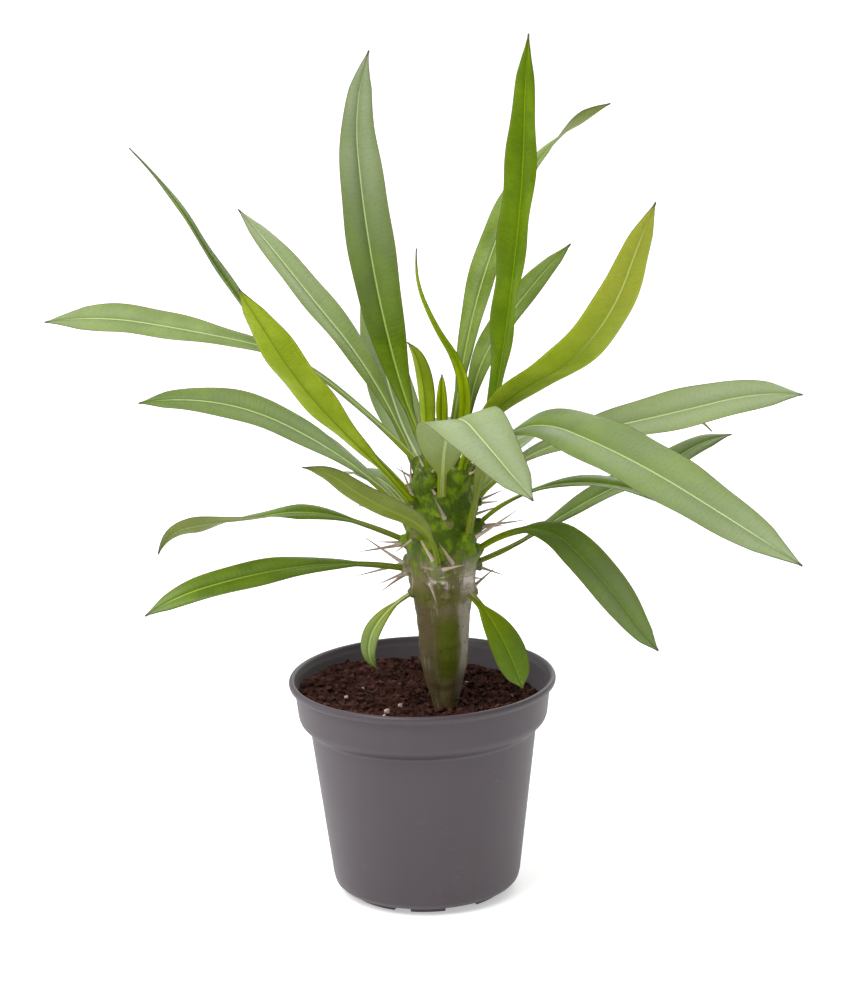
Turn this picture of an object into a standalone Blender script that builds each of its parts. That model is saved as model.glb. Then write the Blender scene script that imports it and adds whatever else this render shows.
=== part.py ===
"""Potted pachypodium: a young spiny trunk crowned with long leaves, in a plastic nursery pot of peat.

All sizes below are in millimetres and all angles in degrees. The origin is the centre of the pot's
underside, +Z is up, and the side that the photograph shows faces -Y.
"""
import math
import random
from collections import namedtuple

import bmesh
import bpy
from mathutils import Matrix, Vector, noise

MM = 0.001
GAP = 0.3
MERGE = 0.01
CUT_CLEARANCE = 1.0

# Pot
POT_HEIGHT = 100.0
TURN_STEPS = 40
POT_WALL = 1.2
LIP_RADIUS = 60.0
BAND_BOTTOM_RADIUS = 55.6
BAND_INNER_RADIUS = 54.6
BAND_INNER_HEIGHT = 84.6
BAND_INNER_LENGTH = 12.0
BAND_FLARE = 0.13
SHOULDER_RADIUS = 50.8
SHOULDER_HEIGHT = 77.2
SHOULDER_ROUND = 0.8
BASE_RADIUS = 42.3
BASE_HEIGHT = 8.5
FOOT_OUTER = 35.4
FOOT_INNER = 31.4
FOOT_HEIGHT = 2.0
FLOOR_TOP = 3.1
FLOOR_RADIUS = 35.6
NOTCHES = ((-109, 13), (-64, 26), (-8, 20), (50, 22), (106, 20), (168, 24))
NOTCH_DEPTH = 10.0
NOTCH_RADIUS = 34.4
DRAIN_HOLES = 6
DRAIN_RADIUS = 4.0
DRAIN_CIRCLE = 20.0
DRAIN_SIDES = 12

# Soil
SOIL_LEVEL = 90.0
SOIL_TILT = 0.08
SOIL_DIP = 2.6
SOIL_DIP_RADIUS = 14.0
SOIL_RINGS = (7.2, 14.0, 21.0, 28.0, 35.0, 42.0, 48.0)
SOIL_EDGE_RADIUS = 54.2
SOIL_SIDE = ((54.1, 85.0), (53.2, 82.9), (49.9, 80.3))
SOIL_LUMPS = ((11.0, 1.5, 3.1), (5.0, 1.1, 7.7))
SOIL_CALM = 8.0
STEM_HOLE_PLAY = 0.35

# Trunk
TRUNK_X = 10.0
TRUNK_Y = -8.0
TRUNK_TURN_STEPS = 20
STEM_FOOT = 60.0
STEM_RADIUS = 5.0
TRUNK_PROFILE = (
    (0.0, 211.5), (6.0, 208.0), (9.8, 201.0), (12.6, 192.0), (14.2, 181.0), (14.8, 168.0), (14.8, 154.0),
    (14.2, 144.0), (12.8, 138.0), (11.5, 131.0), (10.7, 119.0), (9.3, 107.0), (6.7, 96.0), (5.2, 88.0),
    (STEM_RADIUS, 84.0), (STEM_RADIUS, 61.6), (3.6, STEM_FOOT), (0.0, STEM_FOOT))
CROWN_HEIGHT = 170.0
CROWN_REACH = 60.0

# Bosses: each leaf and each leaf scar stands on one. SEAT_REACH is how far it reaches at a height.
SEAT_REACH = ((141, 15.5), (151, 18.2), (172, 18.6), (188, 17.0), (198, 14.5), (205, 10.5), (213, 6.0))
BOSS_SIDES = 7
BOSS_DEPTH = 9.0
BOSS_ROOT_RADIUS = 4.6
BOSS_END_RADIUS = 1.7
SCAR_RISE = 12.0
SPIRAL_TURN = 137.5
SPIRAL_STEPS = 40
SPIRAL_START = 141.5
SPIRAL_RISE = 1.55
SPIRAL_CLEAR = 9.5

# Spines: two long and one short round each boss, less those it has lost, which leaves the share SPINE_KEPT.
# SPINE_LENGTHS gives the longest one at a height.
SPINE_LENGTHS = ((141, 13.0), (158, 25.0), (178, 22.0), (192, 10.0), (212, 5.0))
SPINE_SHARES = (1.0, 0.92, 0.5)
SPINE_PLAY = (0.85, 1.1)
SPINE_KEPT = 0.6
SPINE_SHORTENED = (1.0, 0.8, 0.6, 0.45)
SPINE_RADIUS = 0.85
SPINE_TIP_RADIUS = 0.12
SPINE_SIDES = 4
SPINE_SPREAD = (36.0, 50.0)
SPINE_LEAN = (20.0, 60.0)
SPINE_ROOT_DEPTH = 3.0
SPINE_OFFSET = 1.9
SPINE_FREE = 3.8
SPINE_LEAF_CLEARANCE = 1.9
SPINE_SPINE_CLEARANCE = 1.0
SPINE_TESTS = 12
SPINE_SEED = 94

# Leaves
BLADE_THICKNESS = 0.7
PETIOLE_THICKNESS = 1.8
PETIOLE_SHARE = 0.115
PETIOLE_HALF_WIDTHS = (1.1, 2.0)
PETIOLE_LENGTH = 11.0
STOUT_BEFORE = 2.0
STOUT_FADE = 15.0
TIP_HALF_WIDTH = 0.4
TIP_START = 0.9
FOOT_TAPER = 0.9
TIP_TAPER = 0.6
WAVE_LENGTH = 38.0
WAVE_SHIFT = 2.2
LEAST_STATIONS = 7
STATION_LENGTH = 16.0

# turn and height place the leaf's foot on the crown. rise is the midrib's angle above the level and
# sway its turn to the left of its first heading, both in even steps from the foot to the tip. roll
# lifts the blade's right edge, also from foot to tip, fold lifts both edges and wave ripples them.
# belly is how far along the blade it is widest, and stalk is the length of the petiole.
Leaf = namedtuple(
    "Leaf", "name turn height rise sway length width roll fold wave belly stalk",
    defaults=(0.56, PETIOLE_LENGTH))

LEAVES = (
    Leaf("leaf_low_right", -40, 143, (-36, -48, -60, -70), (0, 0), 48, 18, (-10, -20), 6, 0.9, 0.58, 3.0),
    Leaf("leaf_low_left", 200, 142, (-24, -38, -56, -88, -140), (0, 0), 42, 8.5, (35, 45), 10, 0.1, 0.6, 1.0),
    Leaf("leaf_left_bottom", 193, 154, (14, 3, -6, -12, -30), (0, 0), 118, 15, (25, 40), 8, 0.4),
    Leaf(
        "leaf_left_curled", 184, 167, (26, 21, 8, -9, -5, -12, -72), (0, -9), 115, 14,
        (20, 26, 20, -14, -52, -40), 9, 0.6),
    Leaf("leaf_left_middle", 176, 180, (49, 36, 26, 7, -10), (0, -5), 130, 18, (26, 36), 10, 0.4),
    Leaf(
        "leaf_left_front", 265, 160, (60, 36, 26, 30, 37, 14), (-7, -30, -40), 126, 11.5, (-25, -55), 12,
        0.2, 0.5),
    Leaf("leaf_left_high", 150.5, 201, (40, 33, 7, 5, -11), (0, 10.5), 196.5, 17, (5, 30, 42), 10, 0.5, 0.76),
    Leaf("leaf_left_far", 164, 189, (46, 46, 51, 60, 45), (0, 0), 192, 14, (0, -10), 12, 0.3),
    Leaf("leaf_left_slim", 132, 194, (62, 48, 36, 38, 35), (0, 4), 154, 17, (0, 12), 14, 0.35),
    Leaf("leaf_left_yellow", 220, 187, (50, 44, 48, 57, 58), (0, -2), 141, 18.5, (-25, -35), 12, 0.9, 0.6),
    Leaf("leaf_tall_left", 118, 202, (45, 68, 79, 86, 112), (0, 19, 36), 186, 23.5, (15, 30), 10, 0.5, 0.53),
    Leaf("leaf_tall_shaded", 104, 188, (14, 14, 32, 60, 72), (0, 2), 138, 22, (0, 0), 10, 0.4, 0.48),
    Leaf(
        "leaf_tall_right", -5, 201, (58, 80, 82, 84, 88, 85), (0, 2), 192.5, 21, (-28, -32, -38, -58, -56),
        16, 0.9, 0.44),
    Leaf("leaf_tall_back", 62, 204, (74, 67, 56, 38, 10), (0, -13, -24), 187, 18, (0, 0, 4, 20, 78), 14, 0.5),
    Leaf("leaf_back_short", 35, 198, (90, 76, 50, 41, 36), (0, -3), 113, 16, (0, -15), 12, 0.4),
    Leaf("leaf_right_yellow", -44, 200, (71, 42, 28, 49, 68, 64), (0, 11), 172, 24, (20, 32), 5, 0.4, 0.5),
    Leaf(
        "leaf_front_folded", -88, 190, (62, 62, 38, -20, -32, -40), (0, 20, 48), 117, 33, (0, -14), 8, 0.5,
        0.45),
    Leaf(
        "leaf_front_large", -50, 172, (74, 70, 27, -12, -18, -23, -24, -25), (0, 15, 17), 212, 31,
        (0, -36), 8, 0.6, 0.5),
    Leaf("leaf_right_pale", 14, 184, (44, 16, 8, 10, -8), (0, -4), 156.5, 22.5, (-25, -42), 10, 0.45, 0.6),
    Leaf("leaf_right_hidden", 42, 176, (42, 12, 0, 2, -45), (0, -6), 155, 15, (0, 0), 12, 0.4),
    Leaf("leaf_right_middle", -2, 174, (43, 17, -5, -22, -18), (0, 0), 106, 14, (0, -15), 12, 0.3),
    Leaf("leaf_right_slim", 16, 154, (16, 26, 24, 14, 26, 2), (0, 8), 130, 17, (0, -25), 12, 0.3),
    Leaf(
        "leaf_right_low", -14, 163, (36, 12, -43, -49, -55, -47), (0, 0), 104, 21, (-25, -42), 8, 0.4,
        0.46, 18.0),
    Leaf("leaf_young_hooked", -115, 202, (85, 92, 82, 62, 30), (0, 0), 65, 9, (0, 0), 25, 0.2, 0.48, 3.0),
    Leaf("leaf_young_thin", 24, 208, (64, 94, 124, 112, 84), (0, 0), 95, 7, (-45, -20, 0), 20, 0.1, 0.24, 4),
    Leaf("leaf_young_short", 78, 210, (80, 88, 90), (0, 0), 28, 6, (0, 0), 25, 0.0, 0.36, 3.0),
    Leaf("leaf_rear_right", 68, 164, (32, 20, 6, -8, -18), (0, 0), 130, 17, (0, 0), 10, 0.4),
    Leaf("leaf_rear_middle", 90, 176, (30, 18, 4, -10, -24), (0, 0), 122, 18, (0, 0), 10, 0.5),
    Leaf("leaf_rear_left", 112, 162, (26, 14, -2, -14, -26), (0, 0), 116, 16, (0, 0), 10, 0.4),
    Leaf("leaf_rear_high", 136, 174, (30, 23, 18, 11, 3), (0, 0), 104, 13, (0, 0), 10, 0.4),
)


def between(samples, t):
    """Value at t, from 0 to 1, on evenly spaced samples joined by straight runs."""
    place = min(max(t, 0.0), 1.0) * (len(samples) - 1)
    index = min(int(place), len(samples) - 2)
    part = place - index
    return samples[index] * (1 - part) + samples[index + 1] * part


def on_table(table, x):
    """Value at x on a table of (x, value) pairs."""
    for (x0, v0), (x1, v1) in zip(table, table[1:]):
        if x <= x1:
            part = min(max((x - x0) / (x1 - x0), 0.0), 1.0)
            return v0 * (1 - part) + v1 * part
    return table[-1][1]


def heading(turn, rise):
    """Unit vector at a turn about +Z and a rise above the level."""
    turn = math.radians(turn)
    rise = math.radians(rise)
    return Vector((math.cos(rise) * math.cos(turn), math.cos(rise) * math.sin(turn), math.sin(rise)))


def right_of(turn):
    """Level unit vector to the right of a turn about +Z."""
    return heading(turn - 90, 0)


def seat_point(turn, height):
    """Point on the crown where a boss ends and a leaf starts."""
    return Vector((TRUNK_X, TRUNK_Y, height)) + heading(turn, 0) * on_table(SEAT_REACH, height)


def petiole_half_width(leaf):
    """Half the petiole's width: a share of the leaf's, within limits."""
    least, most = PETIOLE_HALF_WIDTHS
    return min(max(PETIOLE_SHARE * leaf.width, least), most)


def blade_half_width(leaf, t):
    """Half the leaf's width at t of its length: a petiole, then a long blade with a straight-sided tip."""
    blade = (t * leaf.length - leaf.stalk) / (leaf.length - leaf.stalk)
    if blade <= 0:
        return petiole_half_width(leaf)
    body = min(blade, TIP_START)
    swell = math.sin(math.pi * body ** (math.log(0.5) / math.log(leaf.belly)))
    taper = FOOT_TAPER + (TIP_TAPER - FOOT_TAPER) * body
    tip = min(max(1 - blade, 0.0) / (1 - TIP_START), 1.0)
    least = petiole_half_width(leaf) if blade < 0.5 else TIP_HALF_WIDTH
    return max(leaf.width / 2 * swell ** taper * tip, least)


def midrib(leaf, steps):
    """Points of the midrib with their along, side and upper directions, from foot to tip."""
    point = seat_point(leaf.turn, leaf.height) + heading(leaf.turn, leaf.rise[0]) * GAP
    frames = []
    for step in range(steps + 1):
        t = step / steps
        turn = leaf.turn + between(leaf.sway, t)
        along = heading(turn, between(leaf.rise, t))
        spin = Matrix.Rotation(-math.radians(between(leaf.roll, t)), 3, along)
        side = spin @ right_of(turn)
        frames.append((point, along, side, side.cross(along)))
        halfway = t + 0.5 / steps
        turn = leaf.turn + between(leaf.sway, halfway)
        point = point + heading(turn, between(leaf.rise, halfway)) * (leaf.length / steps)
    return frames


def blade_point(leaf, frame, t, across):
    """Point of the blade at t of its length and across its width, from -1 on the left to 1."""
    point, _, side, upper = frame
    half = blade_half_width(leaf, t)
    swell = min(half / (leaf.width / 2), 1.0) if half > petiole_half_width(leaf) else 0.0
    fold = math.radians(leaf.fold) * swell
    phase = leaf.turn + (0.0 if across > 0 else WAVE_SHIFT)
    ripple = math.sin(2 * math.pi * t * leaf.length / WAVE_LENGTH + phase)
    lift = abs(across) * half * math.sin(fold) + leaf.wave * ripple * swell * across ** 2
    return point + side * (across * half * math.cos(fold)) + upper * lift


def plain_material(name, colour, roughness):
    """A Principled material of one colour."""
    material = bpy.data.materials.new(name)
    material.use_nodes = True
    shader = material.node_tree.nodes["Principled BSDF"]
    shader.inputs["Base Color"].default_value = (*colour, 1.0)
    shader.inputs["Roughness"].default_value = roughness
    shader.inputs["Metallic"].default_value = 0.0
    return material


def add_object(name, mesh, collection, material=None):
    """Link a mesh as a named object."""
    made = bpy.data.objects.new(name, mesh)
    collection.objects.link(made)
    if material:
        mesh.materials.append(material)
    return made


def add_shape(name, bm, collection, material=None):
    """Link what a bmesh holds as a named object, and free the bmesh."""
    mesh = bpy.data.meshes.new(name)
    bm.to_mesh(mesh)
    bm.free()
    return add_object(name, mesh, collection, material)


def make_guide(made):
    """Mark an object as a cutter or a guide."""
    made.hide_render = True
    made.display_type = "WIRE"


def turned(name, profile, steps, collection, material):
    """Turn a profile of (radius, height) pairs about +Z. It ends on the axis at both ends."""
    mesh = bpy.data.meshes.new(name)
    points = [(radius * MM, 0.0, height * MM) for radius, height in profile]
    mesh.from_pydata(points, [(i, i + 1) for i in range(len(points) - 1)], [])
    made = add_object(name, mesh, collection, material)
    screw = made.modifiers.new("Turn", "SCREW")
    screw.angle = 2 * math.pi
    screw.steps = steps
    screw.render_steps = steps
    screw.use_merge_vertices = True
    screw.merge_threshold = MERGE * MM
    return made


def settle(made):
    """Apply an object's modifiers to its own mesh."""
    bpy.context.view_layer.update()
    evaluated = made.evaluated_get(bpy.context.evaluated_depsgraph_get())
    mesh = bpy.data.meshes.new_from_object(evaluated)
    made.modifiers.clear()
    made.data = mesh
    return mesh


def boolean(made, operation, collection, solver="EXACT"):
    """Join to an object, or cut from it, all the objects of a collection."""
    modifier = made.modifiers.new(operation.title(), "BOOLEAN")
    modifier.operation = operation
    modifier.operand_type = "COLLECTION"
    modifier.collection = collection
    modifier.solver = solver


def smooth(mesh, angle):
    """Shade a mesh smooth, with edges sharper than an angle left sharp."""
    mesh.shade_smooth()
    mesh.set_sharp_from_angle(angle=math.radians(angle))


def cone_between(name, foot, end, foot_radius, end_radius, sides, collection):
    """A closed cone or peg from one point to another."""
    span = end - foot
    turn = span.to_track_quat("Z", "Y").to_matrix().to_4x4()
    bm = bmesh.new()
    bmesh.ops.create_cone(
        bm, cap_ends=True, segments=sides, radius1=foot_radius * MM, radius2=end_radius * MM,
        depth=span.length * MM, matrix=Matrix.Translation((foot + end) / 2 * MM) @ turn)
    return add_shape(name, bm, collection)


def pot_profile():
    """Inside from the floor's centre up, over the lip, and down the outside to the underside."""
    inside = [
        (0.0, FLOOR_TOP), (FLOOR_RADIUS, FLOOR_TOP), (38.6, 4.2), (40.4, 6.2),
        (BASE_RADIUS - POT_WALL, BASE_HEIGHT), (SHOULDER_RADIUS - POT_WALL, SHOULDER_HEIGHT + SHOULDER_ROUND),
        (50.6, 80.0), (53.9, 82.6), (BAND_INNER_RADIUS, BAND_INNER_HEIGHT),
        (BAND_INNER_RADIUS + BAND_FLARE * BAND_INNER_LENGTH, BAND_INNER_HEIGHT + BAND_INNER_LENGTH)]
    lip = [
        (57.4, 99.4), (58.4, POT_HEIGHT), (LIP_RADIUS - 0.6, 99.7), (LIP_RADIUS, 98.6),
        (LIP_RADIUS - 0.2, 97.2), (59.2, 96.5), (57.6, 96.3)]
    outside = [
        (57.3, 95.0), (BAND_BOTTOM_RADIUS + 0.3, 83.0), (BAND_BOTTOM_RADIUS - 0.4, 80.9), (53.4, 78.9),
        (51.6, 77.7), (SHOULDER_RADIUS, SHOULDER_HEIGHT - SHOULDER_ROUND), (BASE_RADIUS, BASE_HEIGHT),
        (41.5, 5.3), (39.8, 3.4), (37.6, 2.4), (FOOT_OUTER + 0.2, FOOT_HEIGHT), (FOOT_OUTER - 0.3, 0.0),
        (FOOT_INNER, 0.0), (FOOT_INNER - 0.2, FOOT_HEIGHT), (0.0, FOOT_HEIGHT)]
    return inside + lip + outside


def make_pot(collection, cutters, material):
    """The nursery pot, with notches between its feet and drain holes in its floor."""
    pot = turned("pot", pot_profile(), TURN_STEPS, collection, material)
    for index, (turn, width) in enumerate(NOTCHES):
        chord = 2 * FOOT_OUTER * math.sin(math.radians(width / 2))
        size = Matrix.Diagonal((NOTCH_DEPTH * MM, chord * MM, 2 * FOOT_HEIGHT * MM, 1.0))
        out = Matrix.Translation((NOTCH_RADIUS * MM, 0.0, 0.0))
        bm = bmesh.new()
        bmesh.ops.create_cube(bm, size=1.0, matrix=Matrix.Rotation(math.radians(turn), 4, "Z") @ out @ size)
        make_guide(add_shape(f"notch_{index}", bm, cutters))
    for index in range(DRAIN_HOLES):
        spot = heading((index + 0.5) * 360 / DRAIN_HOLES, 0) * DRAIN_CIRCLE
        low = spot - Vector((0, 0, CUT_CLEARANCE))
        high = spot + Vector((0, 0, FLOOR_TOP + CUT_CLEARANCE))
        drain = cone_between(f"drain_{index}", low, high, DRAIN_RADIUS, DRAIN_RADIUS, DRAIN_SIDES, cutters)
        make_guide(drain)
    boolean(pot, "DIFFERENCE", cutters)
    smooth(settle(pot), 35)


def soil_height(x, y):
    """Height of the soil's uneven top: higher at the left, dipped round the stem, with lumps."""
    away = math.hypot(x - TRUNK_X, y - TRUNK_Y)
    lumps = sum(lift * noise.noise(Vector((x / size, y / size, seed))) for size, lift, seed in SOIL_LUMPS)
    calm = min(max(away / SOIL_CALM - 1, 0.0), 1.0)
    dip = SOIL_DIP * math.exp(-(away / SOIL_DIP_RADIUS) ** 2)
    return SOIL_LEVEL - SOIL_TILT * x - dip + lumps * calm


def raise_soil(mesh):
    """Give the turned soil its uneven top, with a rim that follows the pot's wall."""
    for vertex in mesh.vertices:
        if vertex.co.z < (SOIL_LEVEL - MERGE) * MM:
            continue
        x, y = vertex.co.x / MM, vertex.co.y / MM
        height = soil_height(x, y)
        away = math.hypot(x, y)
        reach = BAND_INNER_RADIUS - GAP + BAND_FLARE * (height - BAND_INNER_HEIGHT)
        stretch = reach / away if away > SOIL_RINGS[-1] + MERGE else 1.0
        vertex.co = Vector((x * stretch, y * stretch, height)) * MM


def make_soil(collection, cutters, material):
    """The peat that fills the pot, with a plain hole for the stem."""
    top = [(0.0, SOIL_LEVEL)] + [(radius, SOIL_LEVEL) for radius in (*SOIL_RINGS, SOIL_EDGE_RADIUS)]
    side = [
        *SOIL_SIDE, (SHOULDER_RADIUS - POT_WALL - GAP, SHOULDER_HEIGHT + SHOULDER_ROUND),
        (BASE_RADIUS - POT_WALL - GAP, BASE_HEIGHT), (39.8, 6.4), (38.0, 4.6)]
    underside = [(FLOOR_RADIUS - 2 * GAP, FLOOR_TOP + GAP), (0.0, FLOOR_TOP + GAP)]
    soil = turned("soil", top + side + underside, TURN_STEPS, collection, material)
    raise_soil(settle(soil))
    low = Vector((TRUNK_X, TRUNK_Y, STEM_FOOT - GAP))
    high = Vector((TRUNK_X, TRUNK_Y, POT_HEIGHT))
    hole = STEM_RADIUS + STEM_HOLE_PLAY + GAP
    make_guide(cone_between("stem_hole", low, high, hole, hole, TRUNK_TURN_STEPS, cutters))
    boolean(soil, "DIFFERENCE", cutters)
    smooth(settle(soil), 70)


def leaf_seats():
    """Turn, height and rise of every leaf's boss."""
    return [(leaf.turn, leaf.height, leaf.rise[0]) for leaf in LEAVES]


def scar_seats():
    """Bare bosses where leaves have dropped, on a spiral, where no leaf's boss stands."""
    taken = [seat_point(leaf.turn, leaf.height) for leaf in LEAVES]
    seats = []
    for step in range(SPIRAL_STEPS):
        turn = step * SPIRAL_TURN
        height = SPIRAL_START + step * SPIRAL_RISE
        point = seat_point(turn, height)
        if all((point - other).length > SPIRAL_CLEAR for other in taken):
            taken.append(point)
            seats.append((turn, height, SCAR_RISE))
    return seats


def leaf_samples():
    """Points of the leaves near the crown, which the spines keep clear of."""
    crown = Vector((TRUNK_X, TRUNK_Y, CROWN_HEIGHT))
    points = []
    for leaf in LEAVES:
        steps = round(leaf.length / 3)
        for step, frame in enumerate(midrib(leaf, steps)):
            for across in (-1, -0.5, 0, 0.5, 1):
                points.append(blade_point(leaf, frame, step / steps, across))
    return [point for point in points if (point - crown).length < CROWN_REACH]


def spine_is_clear(foot, end, points, spines):
    """True where a spine touches no leaf and, past its foot, crosses no other spine."""
    for test in range(1, SPINE_TESTS + 1):
        spot = foot.lerp(end, test / SPINE_TESTS)
        if any((spot - point).length_squared < SPINE_LEAF_CLEARANCE ** 2 for point in points):
            return False
        past_foot = test > SPINE_TESTS / 4
        if past_foot and any((spot - other).length_squared < SPINE_SPINE_CLEARANCE ** 2 for other in spines):
            return False
    return True


def spines_at(seat, along, turn, longest, draw):
    """Feet, directions and lengths of the spines round one boss: three, less those it has lost."""
    side = right_of(turn)
    upper = side.cross(along).normalized()
    lean = math.radians(draw.uniform(*SPINE_LEAN))
    across = side * math.cos(lean) + upper * math.sin(lean)
    below = side * math.sin(lean) - upper * math.cos(lean)
    made = []
    for push, share in zip((across, -across, below), SPINE_SHARES):
        spread = math.radians(draw.uniform(*SPINE_SPREAD))
        aim = along * math.cos(spread) + push * math.sin(spread)
        foot = seat - along * SPINE_ROOT_DEPTH + push * SPINE_OFFSET
        length = longest * share * draw.uniform(*SPINE_PLAY)
        if draw.random() < SPINE_KEPT:
            made.append((foot, aim, length))
    return made


def add_spines(index, seat, along, turn, draw, points, placed, repeats):
    """The spines of one boss, each shortened until it is clear or left out."""
    longest = on_table(SPINE_LENGTHS, seat.z)
    for order, (foot, aim, length) in enumerate(spines_at(seat, along, turn, longest, draw)):
        free = foot + aim * SPINE_FREE
        for share in SPINE_SHORTENED:
            end = foot + aim * (length * share + SPINE_ROOT_DEPTH)
            if spine_is_clear(free, end, points, placed):
                name = f"spine_{index}_{order}"
                cone_between(name, foot, end, SPINE_RADIUS, SPINE_TIP_RADIUS, SPINE_SIDES, repeats)
                placed.extend(foot.lerp(end, test / SPINE_TESTS) for test in range(SPINE_TESTS + 1))
                break


def make_trunk(collection, repeats, material):
    """The trunk, with a boss and its spines at each leaf and each leaf scar."""
    trunk = turned("trunk", TRUNK_PROFILE, TRUNK_TURN_STEPS, collection, material)
    trunk.location = (TRUNK_X * MM, TRUNK_Y * MM, 0.0)
    draw = random.Random(SPINE_SEED)
    points = leaf_samples()
    placed = []
    for index, (turn, height, rise) in enumerate(leaf_seats() + scar_seats()):
        seat = seat_point(turn, height)
        along = heading(turn, rise)
        root = seat - along * BOSS_DEPTH
        cone_between(f"boss_{index}", root, seat, BOSS_ROOT_RADIUS, BOSS_END_RADIUS, BOSS_SIDES, repeats)
        add_spines(index, seat, along, turn, draw, points, placed, repeats)
    boolean(trunk, "UNION", repeats, "MANIFOLD")
    smooth(settle(trunk), 50)
    for made in list(repeats.objects):
        bpy.data.objects.remove(made, do_unlink=True)


def make_leaf(leaf, collection, material):
    """One leaf: a strip shaped along its midrib and thickened, stouter at the petiole."""
    steps = LEAST_STATIONS + round(leaf.length / STATION_LENGTH)
    frames = midrib(leaf, steps)
    bm = bmesh.new()
    bmesh.ops.create_grid(bm, x_segments=2, y_segments=steps, size=1.0)
    stout = []
    for vertex in bm.verts:
        t = (vertex.co.y + 1) / 2
        vertex.co = blade_point(leaf, frames[round(t * steps)], t, round(vertex.co.x)) * MM
        stout.append(1 - (t * leaf.length - leaf.stalk + STOUT_BEFORE) / STOUT_FADE)
    bmesh.ops.triangulate(bm, faces=bm.faces[:])
    made = add_shape(leaf.name, bm, collection, material)
    group = made.vertex_groups.new(name="petiole")
    for index, weight in enumerate(stout):
        group.add([index], min(max(weight, 0.0), 1.0), "REPLACE")
    wall = made.modifiers.new("Thickness", "SOLIDIFY")
    wall.thickness = PETIOLE_THICKNESS * MM
    wall.offset = 0.0
    wall.vertex_group = group.name
    wall.thickness_vertex_group = BLADE_THICKNESS / PETIOLE_THICKNESS
    smooth(settle(made), 60)


def main():
    """Build the potted plant."""
    for old in list(bpy.data.objects):
        bpy.data.objects.remove(old, do_unlink=True)
    names = ("potted_pachypodium", "pot_cutters", "soil_cutters", "bosses_and_spines")
    plant, pot_cutters, soil_cutters, repeats = (bpy.data.collections.new(name) for name in names)
    for collection in (plant, pot_cutters, soil_cutters, repeats):
        bpy.context.scene.collection.children.link(collection)
    make_pot(plant, pot_cutters, plain_material("pot_plastic", (0.135, 0.12, 0.13), 0.5))
    make_soil(plant, soil_cutters, plain_material("peat", (0.055, 0.026, 0.016), 0.95))
    make_trunk(plant, repeats, plain_material("trunk_skin", (0.26, 0.28, 0.17), 0.65))
    green = plain_material("leaf_green", (0.13, 0.27, 0.05), 0.4)
    for leaf in LEAVES:
        make_leaf(leaf, plant, green)


main()
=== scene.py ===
"""Potted pachypodium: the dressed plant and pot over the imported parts, with its floor, light and camera.

Sizes are in millimetres and angles in degrees until a point goes into a mesh. The origin is the centre
of the pot's underside, +Z is up, and the side that the photograph shows faces -Y.
"""
import logging
import math
import random
from dataclasses import dataclass, field
from enum import Enum
from typing import Any, Callable, Iterator, Sequence, Union

import bmesh
import bpy
from mathutils import Matrix, Vector, noise
from mathutils.kdtree import KDTree


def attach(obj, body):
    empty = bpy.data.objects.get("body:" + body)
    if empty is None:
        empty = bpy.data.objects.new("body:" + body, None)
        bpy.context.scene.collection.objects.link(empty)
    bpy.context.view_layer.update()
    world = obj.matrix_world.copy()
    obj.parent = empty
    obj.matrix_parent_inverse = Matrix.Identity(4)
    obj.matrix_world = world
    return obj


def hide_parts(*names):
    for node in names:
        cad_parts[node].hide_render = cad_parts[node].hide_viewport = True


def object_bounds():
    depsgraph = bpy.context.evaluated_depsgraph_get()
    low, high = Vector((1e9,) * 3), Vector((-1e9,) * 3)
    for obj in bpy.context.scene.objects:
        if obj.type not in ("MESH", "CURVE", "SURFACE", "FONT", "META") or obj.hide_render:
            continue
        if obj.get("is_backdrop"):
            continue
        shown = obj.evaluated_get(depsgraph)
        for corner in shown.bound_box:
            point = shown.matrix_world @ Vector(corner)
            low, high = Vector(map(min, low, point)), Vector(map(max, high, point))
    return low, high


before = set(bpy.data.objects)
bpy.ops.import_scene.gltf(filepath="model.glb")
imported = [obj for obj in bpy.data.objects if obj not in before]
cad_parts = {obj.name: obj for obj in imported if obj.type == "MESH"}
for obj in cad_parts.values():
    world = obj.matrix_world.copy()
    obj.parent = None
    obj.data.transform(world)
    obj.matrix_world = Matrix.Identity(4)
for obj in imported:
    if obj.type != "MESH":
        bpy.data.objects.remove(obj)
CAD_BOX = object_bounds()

MM = 0.001
log = logging.getLogger("pachypodium")

Span = tuple[float, float]
Triple = tuple[float, float, float]
Colour = Triple
Table = Sequence[tuple[float, float]]
Object = bpy.types.Object


class Slot(Enum):
    """Material slots of the record."""

    POT = "pot_plastic"
    PEAT = "peat"
    TRUNK = "trunk_skin"
    GREEN = "leaf_green"
    YELLOW = "leaf_yellow_green"


class Tone(Enum):
    """How light and how yellow a leaf is."""

    GREEN = "green"
    DEEP = "deep"
    PALE = "pale"
    FRESH = "fresh"


def between(samples: Sequence[float], t: float) -> float:
    """Value on evenly spaced samples joined by straight runs.

    Args:
        samples: values at even steps from 0 to 1.
        t: place from 0 to 1, held inside that range.

    Returns:
        The value at t.
    """
    place = clamp(t) * (len(samples) - 1)
    index = min(int(place), len(samples) - 2)
    part = place - index
    return samples[index] * (1 - part) + samples[index + 1] * part


def on_table(table: Table, x: float) -> float:
    """Value at x on a table of (x, value) pairs.

    Args:
        table: pairs in rising order of x.
        x: where to read it, held inside the table.

    Returns:
        The value at x.
    """
    for (x0, v0), (x1, v1) in zip(table, table[1:]):
        if x <= x1:
            part = faded((x0, x1), x)
            return v0 * (1 - part) + v1 * part
    return table[-1][1]


def clamp(value: float, low: float = 0.0, high: float = 1.0) -> float:
    """The value held between low and high."""
    return min(max(value, low), high)


def faded(zone: Span, place: float) -> float:
    """A value that goes straight from 0 to 1 between the two ends of a zone."""
    return clamp((place - zone[0]) / (zone[1] - zone[0]))


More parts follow.
